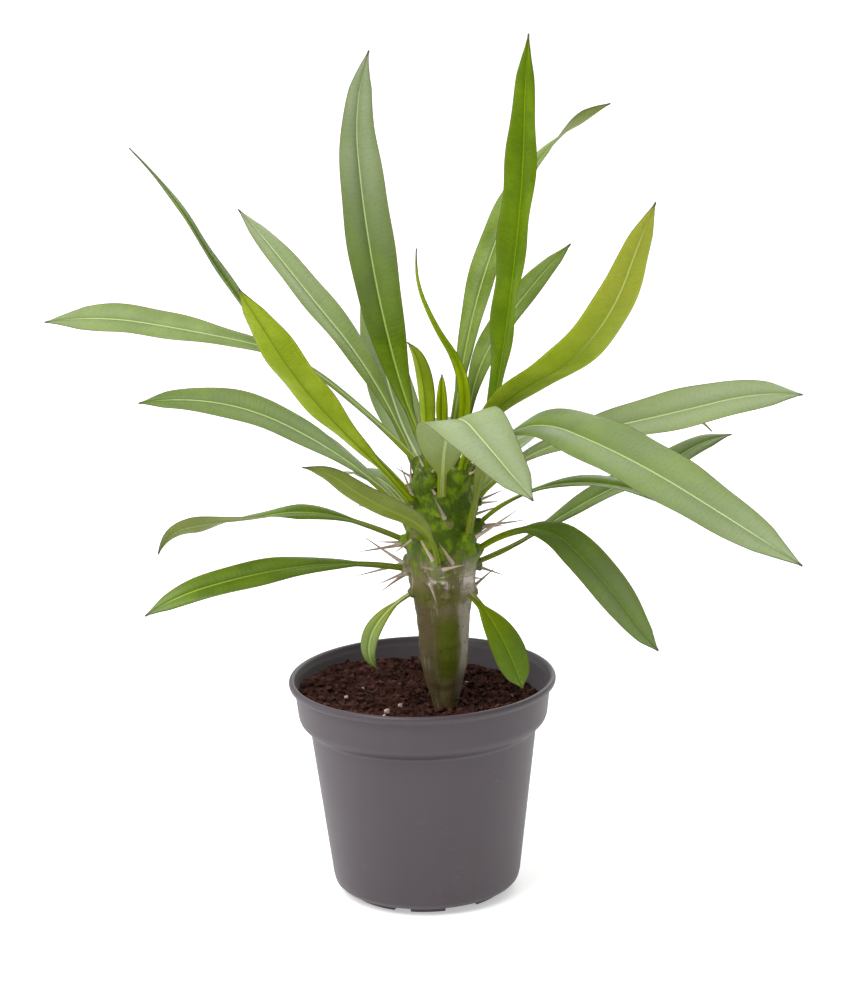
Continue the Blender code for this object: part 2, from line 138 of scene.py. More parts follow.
def heading(turn: float, rise: float) -> Vector:
    """Unit vector at a turn about +Z and a rise above the level.

    Args:
        turn: its turn about +Z from +X.
        rise: its rise above the level.

    Returns:
        The vector.
    """
    turn = math.radians(turn)
    rise = math.radians(rise)
    return Vector((math.cos(rise) * math.cos(turn), math.cos(rise) * math.sin(turn), math.sin(rise)))


def right_of(turn: float) -> Vector:
    """Level unit vector to the right of a turn about +Z."""
    return heading(turn - 90, 0)


def softened(profile: Table, reach: float, steps: int = 3, most: float = 0.45) -> list[Span]:
    """A profile with its corners rounded.

    Args:
        profile: (radius, height) pairs.
        reach: the longest run that a corner takes from each side.
        steps: points on each rounded corner, less one.
        most: the largest share of a side that a corner takes.

    Returns:
        The finer profile, with the same two ends.
    """
    points = [Vector(point) for point in profile]
    made = [points[0]]
    for before, corner, after in zip(points, points[1:], points[2:]):
        back = before - corner
        ahead = after - corner
        start = corner + back.normalized() * min(reach, back.length * most)
        end = corner + ahead.normalized() * min(reach, ahead.length * most)
        for step in range(steps + 1):
            t = step / steps
            made.append(start * (1 - t) ** 2 + corner * 2 * t * (1 - t) + end * t ** 2)
    made.append(points[-1])
    return [(point.x, point.y) for point in made]


def tree_of(points: Sequence[Vector]) -> KDTree:
    """A tree that finds the nearest of some points.

    Args:
        points: the points in millimetres.

    Returns:
        The tree.
    """
    tree = KDTree(len(points))
    for index, point in enumerate(points):
        tree.insert(point, index)
    tree.balance()
    return tree


class Bench:
    """The modelling steps that the pieces share, done with Blender's own operators."""

    @staticmethod
    def pick(*objects: Object) -> None:
        """Select only these objects and make the first one active.

        Args:
            *objects: the objects.
        """
        bpy.ops.object.select_all(action="DESELECT")
        for made in objects:
            made.select_set(True)
        bpy.context.view_layer.objects.active = objects[0]

    @staticmethod
    def fresh(name: str) -> Object:
        """Name the active object and its mesh, and give it.

        Args:
            name: its new name.

        Returns:
            The object.
        """
        made = bpy.context.active_object
        made.name = name
        made.data.name = name
        return made

    @staticmethod
    def primitive(name: str, add: Callable[..., Any], **settings: Any) -> Object:
        """Add one of Blender's primitives.

        Args:
            name: its name.
            add: the operator that adds it.
            **settings: the operator's settings by name.

        Returns:
            The new object.
        """
        bpy.ops.object.select_all(action="DESELECT")
        add(**settings)
        return Bench.fresh(name)

    @staticmethod
    def apply(made: Object, kind: str, **settings: Any) -> None:
        """Add a modifier to an object and apply it.

        Args:
            made: the object.
            kind: the modifier's type.
            **settings: its settings by name.
        """
        Bench.pick(made)
        modifier = made.modifiers.new(kind.title(), kind)
        for key, value in settings.items():
            setattr(modifier, key, value)
        bpy.ops.object.modifier_apply(modifier=modifier.name)

    @staticmethod
    def cut(made: Object, cutters: Sequence[Object]) -> None:
        """Cut closed objects from one, and delete them.

        Args:
            made: the object that is kept.
            cutters: what is cut out of it.
        """
        tool = Bench.joined("cutter", cutters)
        Bench.apply(made, "BOOLEAN", operation="DIFFERENCE", solver="EXACT", use_self=True, object=tool)
        bpy.data.objects.remove(tool, do_unlink=True)

    @staticmethod
    def joined(name: str, objects: Sequence[Object]) -> Object:
        """Join objects into the first one.

        Args:
            name: name of the joined object.
            objects: what is joined.

        Returns:
            The joined object.
        """
        Bench.pick(*objects)
        if len(objects) > 1:
            bpy.ops.object.join()
        return Bench.fresh(name)

    @staticmethod
    def settle(made: Object) -> None:
        """Put an object's place, turn and size into its mesh."""
        Bench.pick(made)
        bpy.ops.object.transform_apply(location=True, rotation=True, scale=True)

    @staticmethod
    def copies(pattern: Object, places: Sequence[Matrix]) -> list[Object]:
        """Copies of a pattern, each with its own mesh; the pattern is deleted.

        Args:
            pattern: the object that is copied.
            places: where each copy goes.

        Returns:
            The copies.
        """
        made = []
        for index, place in enumerate(places):
            copy = bpy.data.objects.new(f"{pattern.name}_{index}", pattern.data.copy())
            bpy.context.collection.objects.link(copy)
            copy.matrix_world = place
            made.append(copy)
        bpy.data.objects.remove(pattern, do_unlink=True)
        return made

    @staticmethod
    def turned(name: str, profile: Table, steps: int) -> Object:
        """Draw a profile by extruding a point, spin it about +Z and close its poles.

        Args:
            name: the new object's name.
            profile: (radius, height) pairs that start and end on the axis.
            steps: faces round the axis.

        Returns:
            The turned object.
        """
        made = Bench.primitive(name, bpy.ops.mesh.primitive_plane_add, size=MM, location=(0, 0, 0))
        bpy.ops.object.mode_set(mode="EDIT")
        bpy.ops.mesh.select_all(action="SELECT")
        bpy.ops.mesh.merge(type="CENTER")
        bpy.ops.transform.translate(value=(profile[0][0] * MM, 0, profile[0][1] * MM))
        for (r0, z0), (r1, z1) in zip(profile, profile[1:]):
            step = ((r1 - r0) * MM, 0, (z1 - z0) * MM)
            bpy.ops.mesh.extrude_region_move(TRANSFORM_OT_translate={"value": step})
        bpy.ops.mesh.select_all(action="SELECT")
        bpy.ops.mesh.spin(steps=steps, angle=2 * math.pi, center=(0, 0, 0), axis=(0, 0, 1))
        bpy.ops.mesh.select_all(action="SELECT")
        bpy.ops.mesh.remove_doubles(threshold=0.004 * MM)
        bpy.ops.mesh.normals_make_consistent(inside=False)
        bpy.ops.object.mode_set(mode="OBJECT")
        return made

    @staticmethod
    def write(made: Object, name: str, values: Sequence[Vector]) -> None:
        """Store a vector for each point of an object's mesh, as an attribute of that name."""
        attribute = made.data.attributes.new(name, "FLOAT_VECTOR", "POINT")
        attribute.data.foreach_set("vector", [part for value in values for part in value])

    @staticmethod
    def dress(made: Object, materials: Sequence[Any], only: int = -1) -> None:
        """Give an object its materials and keep its faces' indices.

        Args:
            made: the object.
            materials: its materials in the order of the faces' indices.
            only: the one index that all faces get, or -1 to keep their own.
        """
        indices = [face.material_index if only < 0 else only for face in made.data.polygons]
        made.data.materials.clear()
        for material in materials:
            made.data.materials.append(material)
        made.data.polygons.foreach_set("material_index", indices)

    @staticmethod
    def finish(
            made: Object, slot: Slot, nodes: Sequence[str], materials: Sequence[Any],
            angle: float) -> Object:
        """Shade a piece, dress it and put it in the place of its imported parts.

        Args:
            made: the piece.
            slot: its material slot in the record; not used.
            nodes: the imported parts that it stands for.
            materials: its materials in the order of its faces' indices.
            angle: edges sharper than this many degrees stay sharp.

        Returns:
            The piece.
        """
        Bench.settle(made)
        bpy.ops.object.shade_smooth_by_angle(angle=math.radians(angle))
        Bench.dress(made, materials)
        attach(made, "root")
        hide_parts(*nodes)
        log.info("%s: %d faces", made.name, len(made.data.polygons))
        return made


def arithmetic(operation: str, swapped: bool = False) -> Callable[..., "Wire"]:
    """A method of Wire that adds a Math node.

    Args:
        operation: what the node does.
        swapped: whether the other value comes first, as for 1 - wire.

    Returns:
        The method.
    """

    def method(wire: "Wire", *others: "Value") -> "Wire":
        """The node's result for this wire and the other values."""
        return wire.maths(operation, *((*others, wire) if swapped else (wire, *others)))

    return method


class Wire:
    """A socket of a material; Python's arithmetic on it adds Math nodes.

    up.turn_of(across) is the angle of a point in radians, sine takes radians, and most is the larger of
    two values.
    """

    def __init__(self, board: "Board", socket: bpy.types.NodeSocket) -> None:
        """Wrap an output socket of a board."""
        self.board = board
        self.socket = socket

    def maths(self, operation: str, *values: "Value") -> "Wire":
        """The result of a Math node with these inputs in order."""
        return self.board.add("ShaderNodeMath", {"operation": operation}, dict(enumerate(values)))

    __add__ = arithmetic("ADD")
    __radd__ = arithmetic("ADD", swapped=True)
    __sub__ = arithmetic("SUBTRACT")
    __rsub__ = arithmetic("SUBTRACT", swapped=True)
    __mul__ = arithmetic("MULTIPLY")
    __rmul__ = arithmetic("MULTIPLY", swapped=True)
    __truediv__ = arithmetic("DIVIDE")
    __rtruediv__ = arithmetic("DIVIDE", swapped=True)
    __abs__ = arithmetic("ABSOLUTE")
    sine = arithmetic("SINE")
    most = arithmetic("MAXIMUM")
    turn_of = arithmetic("ARCTAN2")

    def ramp(self, low: float, high: float) -> "Wire":
        """Smooth step.

        Args:
            low: where it is 0; above high for a falling step.
            high: where it is 1.

        Returns:
            A value from 0 to 1.
        """
        if low > high:
            return 1 - self.ramp(high, low)
        settings = {"interpolation_type": "SMOOTHSTEP"}
        inputs = {"Value": self, "From Min": low, "From Max": high}
        return self.board.add("ShaderNodeMapRange", settings, inputs)


Value = Union[Wire, float]
Paint = Union[Wire, Colour]


class Board:
    """The nodes of a material or of the sky."""

    def __init__(self, owner: Union[bpy.types.Material, bpy.types.World]) -> None:
        """Open the owner's nodes.

        Args:
            owner: the material, or the world whose sky it is.
        """
        owner.use_nodes = True
        self.owner = owner
        self.tree = owner.node_tree

    @staticmethod
    def named(name: str) -> "Board":
        """The nodes of a new material."""
        return Board(bpy.data.materials.new(name))

    def plug(self, socket: bpy.types.NodeSocket, value: Any) -> None:
        """Give a socket a link, a number, a vector or a colour.

        Args:
            socket: an input socket.
            value: what it is given.
        """
        if isinstance(value, Wire):
            self.tree.links.new(value.socket, socket)
        elif socket.type == "RGBA":
            socket.default_value = (*value, 1.0)
        else:
            socket.default_value = value

    def add(self, kind: str, settings: dict[str, Any], inputs: dict[Any, Any], output: Any = 0) -> Wire:
        """Add a node of any kind.

        Args:
            kind: the node's type.
            settings: its settings by name, made before its inputs.
            inputs: values or links by the input's name or number.
            output: name or number of the output that is used.

        Returns:
            That output.
        """
        node = self.tree.nodes.new(kind)
        for key, value in settings.items():
            setattr(node, key, value)
        for key, value in inputs.items():
            self.plug(node.inputs[key], value)
        return Wire(self, node.outputs[output])

    def place(self) -> Wire:
        """Where a point of the piece is, in metres."""
        return self.add("ShaderNodeTexCoord", {}, {}, "Object")

    def stored(self, name: str) -> Wire:
        """A vector stored in the piece's mesh."""
        return self.add("ShaderNodeAttribute", {"attribute_name": name}, {}, "Vector")

    def parts(self, vector: Wire) -> tuple[Wire, Wire, Wire]:
        """The three numbers of a vector.

        Args:
            vector: the vector.

        Returns:
            Its x, y and z.
        """
        first = self.add("ShaderNodeSeparateXYZ", {}, {"Vector": vector}, "X")
        outputs = first.socket.node.outputs
        return first, Wire(self, outputs["Y"]), Wire(self, outputs["Z"])

    def scaled(self, vector: Wire, scale: Colour) -> Wire:
        """A vector stretched along its three axes."""
        return self.add("ShaderNodeVectorMath", {"operation": "MULTIPLY"}, {0: vector, 1: scale})

    def noise(self, vector: Wire, size: float, detail: float = 2.0, rough: float = 0.5) -> Wire:
        """Noise of about 0.25 to 0.75, its clouds' size in millimetres, with octaves of finer noise."""
        inputs = {"Vector": vector, "Scale": 1 / (size * MM), "Detail": detail, "Roughness": rough}
        return self.add("ShaderNodeTexNoise", {}, inputs, "Fac")

    def cells(self, vector: Wire, size: float) -> Wire:
        """Distance to the nearest of scattered points, as a share of their spacing, the size."""
        return self.add("ShaderNodeTexVoronoi", {}, {"Vector": vector, "Scale": 1 / (size * MM)}, "Distance")

    def mix(self, share: Value, first: Paint, second: Paint, blend: str = "MIX") -> Wire:
        """Two colours mixed by the share of the second, or laid over each other with a blend."""
        settings = {"data_type": "RGBA", "blend_type": blend, "clamp_factor": True}
        return self.add("ShaderNodeMix", settings, {0: share, 6: first, 7: second}, 2)

    def bump(self, height: Wire, depth: float) -> Wire:
        """A normal bent by relief, of so many millimetres for each unit of height."""
        inputs = {"Height": height, "Distance": depth * MM, "Strength": 1.0}
        return self.add("ShaderNodeBump", {}, inputs)

    def coat(self, colour: Paint, *coats: Sequence[Any]) -> Paint:
        """Lay coats of colour over one another.

        Args:
            colour: the lowest colour.
            *coats: for each its share from 0 to 1, its colour, and its blend where it isn't plain paint.

        Returns:
            The last mixed colour.
        """
        for share, paint, *blend in coats:
            colour = self.mix(share, colour, paint, *blend)
        return colour

    def finish(self, **inputs: Any) -> bpy.types.Material:
        """Set the Principled shader's sockets by name, with _ for a space, and give the material.

        Args:
            **inputs: what each socket is given.

        Returns:
            The material.
        """
        shader = self.tree.nodes["Principled BSDF"]
        for key, value in inputs.items():
            self.plug(shader.inputs[key.replace("_", " ")], value)
        return self.owner


@dataclass(frozen=True)
class LeafSide:
    """The skin of one side of a leaf.

    vein_zone, hem_zone and stalk_zone are the two places along the leaf between which each fades in, and
    dry_zone the same as a share of its length. hem_half and vein_inset are measured in from the edge.
    """

    name: str
    blade: Colour
    # the darker green: patches at random, and the painted shade near the rib and the edges
    patch_and_shade: Colour
    rib: Colour
    vein: Colour
    stalk: Colour
    # grey is a painted sheen, partly a waxy bloom, laid where the stored shade is above 0
    grey: Colour = (0.35, 0.415, 0.245)
    # shadow is a painted shadow, laid where the stored shade is below 0
    shadow: Colour = (0.30, 0.34, 0.10)
    edge: Colour = (0.055, 0.055, 0.03)
    tip: Colour = (0.15, 0.13, 0.09)
    # bright is the rib's colour under the painted sheen
    bright: Colour = (0.58, 0.70, 0.33)
    speck: Colour = (0.02, 0.03, 0.0)
    rib_half: float = 0.6
    rib_show: float = 0.82
    vein_show: float = 0.1
    vein_step: float = 2.3
    vein_slant: float = -0.2
    vein_wander: float = 3.0
    vein_zone: Span = (16.0, 34.0)
    vein_inset: Span = (0.2, 1.6)
    hem_zone: Span = (10.0, 22.0)
    hem_half: Span = (0.5, 0.2)
    stalk_zone: Span = (30.0, 8.0)
    dry_zone: Span = (0.982, 0.994)
    pillow: float = 4.5
    relief: float = 0.12
    roughness: float = 0.38
    gloss: float = 0.2
    glow: float = 0.08

    def material(self) -> bpy.types.Material:
        """Midrib, side veins, dark edge, dry tip and green stalk, by the place along and across the leaf,
        with painted shade near the rib and edges, a painted shadow and a grey painted sheen.

        Returns:
            The material.
        """
        board = Board.named(self.name)
        place = board.place()
        along, across, inset = board.parts(board.stored("blade"))
        share, shade, chance = board.parts(board.stored("share"))
        away = abs(across)
        # the stored shade: a painted sheen above 0, partly a waxy bloom, and a painted shadow below 0
        sheen_amount = shade.most(0.0)
        painted_shadow = (shade * -1.0).most(0.0)
        clouds = board.noise(place, 16, 3)
        fine = board.noise(place, 1.4, 3, 0.6)
        out = away / (away + inset + 0.05)
        pillow = out * (1 - out) * 4
        # the midrib, faded under the painted shadow
        rib = (away / (1.15 - share * 0.6)).ramp(self.rib_half, self.rib_half * 0.4)
        rib = rib * share.ramp(1.0, 0.85) * (1 - painted_shadow * 1.5) * self.rib_show
        slope = along + away * self.vein_slant + board.noise(place, 7, 2) * self.vein_wander
        line = (slope * (2 * math.pi / self.vein_step)).sine().ramp(0.6, 1.0)
        veins = line * inset.ramp(*self.vein_inset) * (1 - rib) * along.ramp(*self.vein_zone)
        hem = inset.ramp(*self.hem_half) * along.ramp(*self.hem_zone)
        dry = share.ramp(*self.dry_zone)
        # painted sheen, strongest on the middle of each half, partly a waxy bloom
        sheen_and_bloom = sheen_amount * (0.55 + clouds * 0.5) * (0.6 + pillow * 0.5)
        colour = board.coat(
            self.blade,
            (clouds.ramp(0.35, 0.65), self.patch_and_shade),
            # a darker tone at random per leaf, and painted shade near the rib and the edges
            (chance * 0.3 + (1 - pillow) * 0.45, self.patch_and_shade),
            # the painted sheen
            (sheen_and_bloom, self.grey),
            (veins * self.vein_show, self.vein),
            (along.ramp(*self.stalk_zone), self.stalk),
            # the painted shadow
            (painted_shadow, self.shadow, "MULTIPLY"),
            # the rib, paler under the painted sheen
            (rib, board.mix(sheen_amount * 2.0, self.rib, self.bright)),
            (hem * 0.85, self.edge),
            (dry, self.tip),
            ((fine - 0.5) * 0.5, self.speck, "MULTIPLY"))
        height = pillow * self.pillow - veins * 0.4 + clouds * 1.2 + fine * 0.3
        return board.finish(
            Base_Color=colour, Roughness=self.roughness + (fine - 0.5) * 0.25 + dry * 0.3,
            Normal=board.bump(height, self.relief), Specular_IOR_Level=self.gloss,
            Subsurface_Weight=self.glow, Subsurface_Scale=0.002, Subsurface_Radius=(1.0, 1.0, 0.35))


@dataclass(frozen=True)
class TrunkSkin:
    """The trunk's skin: green on the crown, grey and whitish below, with felt at the spines and a painted
    shade band on the front below the crown.

    A zone gives the two heights between which a colour fades in. A turn is the side that a colour lies on,
    and its reach the degrees from there at which it starts and is full. A half does the same in height.
    """

    axis: tuple[float, float]
    name: str = "trunk_skin_grown"
    crown: Colour = (0.050, 0.092, 0.001)
    bright: Colour = (0.130, 0.200, 0.001)
    bark: Colour = (0.14, 0.115, 0.048)
    grey: Colour = (0.30, 0.265, 0.185)
    olive: Colour = (0.078, 0.096, 0.000)
    foot: Colour = (0.170, 0.140, 0.050)
    brown: Colour = (0.062, 0.042, 0.018)
    violet: Colour = (0.56, 0.49, 0.45)
    felt: Colour = (0.36, 0.315, 0.26)
    dirt: Colour = (0.05, 0.028, 0.018)
    pore: Colour = (0.05, 0.04, 0.03)
    crown_zone: Span = (144.0, 166.0)
    pale_turn: float = -36.0
    pale_reach: Span = (36.0, 12.0)
    pale_zone: Span = (88.0, 100.0)
    violet_reach: Span = (24.0, 8.0)
    violet_zone: Span = (104.0, 116.0)
    stripe_turn: float = -82.0
    stripe_reach: Span = (40.0, 18.0)
    stripe_zone: Span = (137.0, 128.0)
    foot_zone: Span = (108.0, 98.0)
    brown_turn: float = -150.0
    brown_reach: Span = (66.0, 28.0)
    brown_zone: Span = (152.0, 136.0)
    collar_turn: float = -95.0
    # collar: a painted shade band on the front, below the crown's bosses
    collar_reach: Span = (75.0, 45.0)
    collar_height: float = 142.5
    collar_half: Span = (6.0, 2.0)
    ring_turn: float = -55.0
    ring_reach: Span = (75.0, 50.0)
    ring_height: float = 149.0
    ring_half: Span = (3.6, 0.8)
    speck_zone: Span = (176.0, 140.0)
    bald_zone: Span = (148.0, 178.0)
    soil_zone: Span = (90.0, 84.0)
    relief: float = 0.3

    def material(self) -> bpy.types.Material:
        """Zones by height and by the turn about the trunk's axis, under felt and specks.

        Returns:
            The material.
        """
        board = Board.named(self.name)
        place = board.place()
        felt, scar, _ = board.parts(board.stored("growth"))
        x, y, z = board.parts(place)
        height = z * (1 / MM)
        turn = (y - self.axis[1] * MM).turn_of(x - self.axis[0] * MM) * (180 / math.pi)
        clouds = board.noise(place, 6, 4, 0.6)
        upright = board.noise(board.scaled(place, (1.0, 1.0, 0.22)), 2.6, 4, 0.6)
        level = board.noise(board.scaled(place, (0.35, 0.35, 1.6)), 3.2, 3, 0.55)
        fine = board.noise(place, 0.8, 3, 0.6)
        waver = (clouds - 0.5) * 26
        sway = upright - 0.5
        high = (height + waver).ramp(*self.crown_zone)
        right = abs(turn - self.pale_turn + sway * 40).ramp(*self.pale_reach)
        right = right * height.ramp(*self.pale_zone)
        band = abs(turn - self.pale_turn + sway * 60).ramp(*self.violet_reach)
        band = band * height.ramp(*self.violet_zone)
        stripe = abs(turn - self.stripe_turn + sway * 16).ramp(*self.stripe_reach)
        stripe = stripe * (height + waver * 0.3).ramp(*self.stripe_zone)
        left = abs(turn - self.brown_turn + sway * 50).ramp(*self.brown_reach)
        left = left * height.ramp(*self.brown_zone)
        # painted shade below the crown's bosses, on the front
        collar_shade = abs(height - self.collar_height + waver * 0.25).ramp(*self.collar_half)
        collar_shade = collar_shade * abs(turn - self.collar_turn).ramp(*self.collar_reach)
        ring = abs(height - self.ring_height + (level - 0.5) * 14).ramp(*self.ring_half)
        ring = ring * abs(turn - self.ring_turn + (clouds - 0.5) * 60).ramp(*self.ring_reach)
        speck = board.cells(place, 3.1).ramp(0.22, 0.12) * clouds.ramp(0.5, 0.6)
        speck = speck * height.ramp(*self.speck_zone)
        downy = felt * fine.ramp(0.35, 0.6) * (1 - (height + waver * 0.5).ramp(*self.bald_zone) * 0.92)
        soiled = (height + (fine - 0.5) * 16 + waver * 0.2).ramp(*self.soil_zone)
        colour = board.coat(
            self.bark,
            (upright.ramp(0.5, 0.72), self.grey),
            (right * 0.9, self.grey),
            (band * 0.35, self.violet),
            (stripe * 0.96, board.mix((height + waver * 0.4).ramp(*self.foot_zone), self.olive, self.foot)),
            (left * 0.6, self.brown),
            (high * (1 - fine.ramp(0.66, 0.8) * 0.3),
             board.mix(clouds.ramp(0.42, 0.62), self.crown, self.bright)),
            # the painted shade band, in olive
            (collar_shade * 0.6, self.olive),
            (ring * upright.ramp(0.42, 0.58) * 0.85, self.violet),
            (speck * 0.7, self.brown),
            (downy * 0.7, self.felt),
            (scar * 0.7, self.bark),
            (soiled * 0.6, self.dirt),
            ((fine - 0.45) * 0.9, self.pore, "MULTIPLY"))
        lift = level * 0.6 + upright * 0.9 + fine * 0.6 - speck * 0.8 + felt * fine * 1.2
        rough = 0.66 + felt * 0.25 - high * 0.08 - stripe * 0.08 + (fine - 0.5) * 0.2
        return board.finish(
            Base_Color=colour, Roughness=rough, Normal=board.bump(lift, self.relief),
            Specular_IOR_Level=0.15, Subsurface_Weight=0.08, Subsurface_Scale=0.0015,
            Subsurface_Radius=(1.0, 0.8, 0.35))


@dataclass(frozen=True)
class SpineHorn:
    """The spines' horn: whitish at the foot, pinkish brown, and dark at the tip."""

    name: str = "spine_horn"
    foot: Colour = (0.42, 0.35, 0.29)
    shaft: Colour = (0.42, 0.30, 0.20)
    flank: Colour = (0.28, 0.20, 0.165)
    tip: Colour = (0.15, 0.11, 0.105)
    relief: float = 0.1

    def material(self) -> bpy.types.Material:
        """Bands by the place along the spine, with fine streaks.

        Returns:
            The material.
        """
        board = Board.named(self.name)
        _, chance, share = board.parts(board.stored("growth"))
        fine = board.noise(board.place(), 1.1, 3, 0.6)
        colour = board.coat(
            self.foot,
            ((share + (fine - 0.5) * 0.3).ramp(0.1, 0.34), board.mix(chance, self.shaft, self.flank)),
            (share.ramp(0.5, 0.95), self.tip),
            ((fine - 0.45) * 0.8, self.tip, "MULTIPLY"))
        return board.finish(
            Base_Color=colour, Roughness=0.42 + (fine - 0.5) * 0.3, Normal=board.bump(fine, self.relief))


@dataclass(frozen=True)
class PeatCrumb:
    """Moist peat: dark red-brown crumbs with lighter fibres."""

    name: str = "peat_crumb"
    dark: Colour = (0.020, 0.0068, 0.0052)
    mid: Colour = (0.125, 0.048, 0.036)
    light: Colour = (0.26, 0.130, 0.098)
    pink: Colour = (0.20, 0.085, 0.068)
    relief: float = 0.7

    def material(self) -> bpy.types.Material:
        """Crumbs and fibres by noise, and each loose crumb by its own stored chance.

        Returns:
            The material.
        """
        board = Board.named(self.name)
        place = board.place()
        chance, loose, _ = board.parts(board.stored("crumb"))
        lumps = board.noise(place, 3.4, 4, 0.65)
        fine = board.noise(place, 0.7, 4, 0.7)
        clumps = board.noise(place, 8, 3, 0.6)
        fibres = board.noise(board.scaled(place, (0.3, 1.4, 1.0)), 1.3, 3, 0.7)
        threads = board.noise(board.scaled(place, (1.4, 0.3, 1.0)), 1.1, 3, 0.7)
        colour = board.coat(
            self.dark,
            ((lumps + (fine - 0.5) * 0.4).ramp(0.36, 0.64), self.mid),
            (clumps.ramp(0.54, 0.66) * fine.ramp(0.3, 0.6) * 0.5, self.pink),
            (clumps.ramp(0.46, 0.34) * 0.6, self.dark),
            (loose * chance.ramp(0.3, 0.9) * fine.ramp(0.35, 0.6), self.mid),
            (loose * chance.ramp(0.66, 0.92) * fine.ramp(0.3, 0.6), self.pink),
            (fibres.ramp(0.56, 0.70) * fine.ramp(0.4, 0.6) * 0.7, self.light),
            (threads.ramp(0.58, 0.70) * fine.ramp(0.45, 0.6) * 0.6, self.pink))
        height = lumps * 3.0 + fine * 3.2 + fibres + threads
        return board.finish(
            Base_Color=colour, Roughness=0.9 + (fine - 0.5) * 0.2, Normal=board.bump(height, self.relief),
            Specular_IOR_Level=0.08)


@dataclass(frozen=True)
class PerliteGrain:
    """Perlite: chalky pinkish-white grains, stained by the peat."""

    name: str = "perlite_grain"
    clean: Colour = (0.62, 0.47, 0.41)
    stained: Colour = (0.30, 0.17, 0.13)
    relief: float = 0.3

    def material(self) -> bpy.types.Material:
        """Chalk with stains and fine pores.

        Returns:
            The material.
        """
        board = Board.named(self.name)
        fine = board.noise(board.place(), 0.8, 4, 0.7)
        colour = board.mix(fine.ramp(0.4, 0.65), self.clean, self.stained)
        return board.finish(Base_Color=colour, Roughness=0.9, Normal=board.bump(fine, self.relief))


@dataclass(frozen=True)
class PotPlastic:
    """Satin taupe plastic with flow marks, scuffs and a little peat dust."""

    name: str = "pot_plastic_moulded"
    grey: Colour = (0.055, 0.045, 0.053)
    mauve: Colour = (0.067, 0.049, 0.058)
    scuff: Colour = (0.15, 0.13, 0.14)
    # painted light: the inner wall, lighter than the plastic outside, against the shade in the pot
    inside: Colour = (0.165, 0.150, 0.170)
    # painted shadow: the dark line below the band
    band_shadow: Colour = (0.012, 0.009, 0.012)
    dust: Colour = (0.07, 0.042, 0.03)
    bore_foot: float = 45.2
    bore_flare: float = 0.12
    inner_zone: Span = (80.0, 86.0)
    band_shadow_height: float = 79.3
    band_shadow_half: Span = (2.2, 0.8)
    feet_zone: Span = (4.0, 0.5)
    relief: float = 0.08

    def material(self) -> bpy.types.Material:
        """Moulded plastic: flow marks, grain, scuffed corners, a painted shadow line below the band, the
        inner wall painted lighter against its shade, dust inside.

        Returns:
            The material.
        """
        board = Board.named(self.name)
        place = board.place()
        _, _, z = board.parts(place)
        height = z * (1 / MM)
        flow = board.noise(board.scaled(place, (1.0, 1.0, 0.12)), 14, 3, 0.5)
        clouds = board.noise(place, 30, 3)
        grain = board.noise(place, 0.35, 2, 0.6)
        marks = board.noise(board.scaled(place, (1.0, 1.0, 5.0)), 5, 4, 0.65)
        worn = (marks * clouds.ramp(0.45, 0.6)).ramp(0.56, 0.72)
        feet = (height + (marks - 0.5) * 6).ramp(*self.feet_zone)
        level = {0: board.scaled(place, (1.0, 1.0, 0.0))}
        away = board.add("ShaderNodeVectorMath", {"operation": "LENGTH"}, level, "Value") * (1 / MM)
        wall = (away - (height * self.bore_flare + self.bore_foot)).ramp(0.0, -1.0)
        wall = wall * height.ramp(*self.inner_zone)
        grime = wall * (grain + (marks - 0.5) * 1.5).ramp(0.5, 0.85)
        # painted shadow below the band, kept off the inner wall
        band_shadow = abs(height - self.band_shadow_height).ramp(*self.band_shadow_half) * (1 - wall)
        colour = board.coat(
            self.grey,
            (flow * 0.6 + clouds * 0.4, self.mauve),
            (worn * 0.25, self.scuff),
            (feet * 0.35, self.scuff),
            # painted light on the inner wall
            (wall * 0.8, self.inside),
            (grime * 0.25, self.dust),
            # the painted shadow
            (band_shadow * 0.6, self.band_shadow))
        rough = 0.47 + (clouds - 0.5) * 0.14 + worn * 0.15 + feet * 0.15 + grime * 0.2
        return board.finish(
            Base_Color=colour, Roughness=rough, Normal=board.bump(grain * 0.4 + flow * 1.5, self.relief),
            Specular_IOR_Level=0.45)


@dataclass(frozen=True)
class StudioFloor:
    """The plain pale floor."""

    name: str = "studio_floor"
    pale: Colour = (0.82, 0.82, 0.82)
    shade: Colour = (0.80, 0.80, 0.80)
    glow: float = 0.42

    def material(self) -> bpy.types.Material:
        """Matt white with the faintest clouds, lit a little from below like a light table.

        Returns:
            The material.
        """
        board = Board.named(self.name)
        clouds = board.noise(board.place(), 400, 2)
        return board.finish(
            Base_Color=board.mix(clouds, self.pale, self.shade), Roughness=0.7, Specular_IOR_Level=0.2,
            Emission_Color=(1.0, 1.0, 1.0), Emission_Strength=self.glow)


@dataclass(frozen=True)
class ToneFinish:
    """Both sides of a leaf of one tone."""

    upper: LeafSide
    under: LeafSide
    slot: Slot


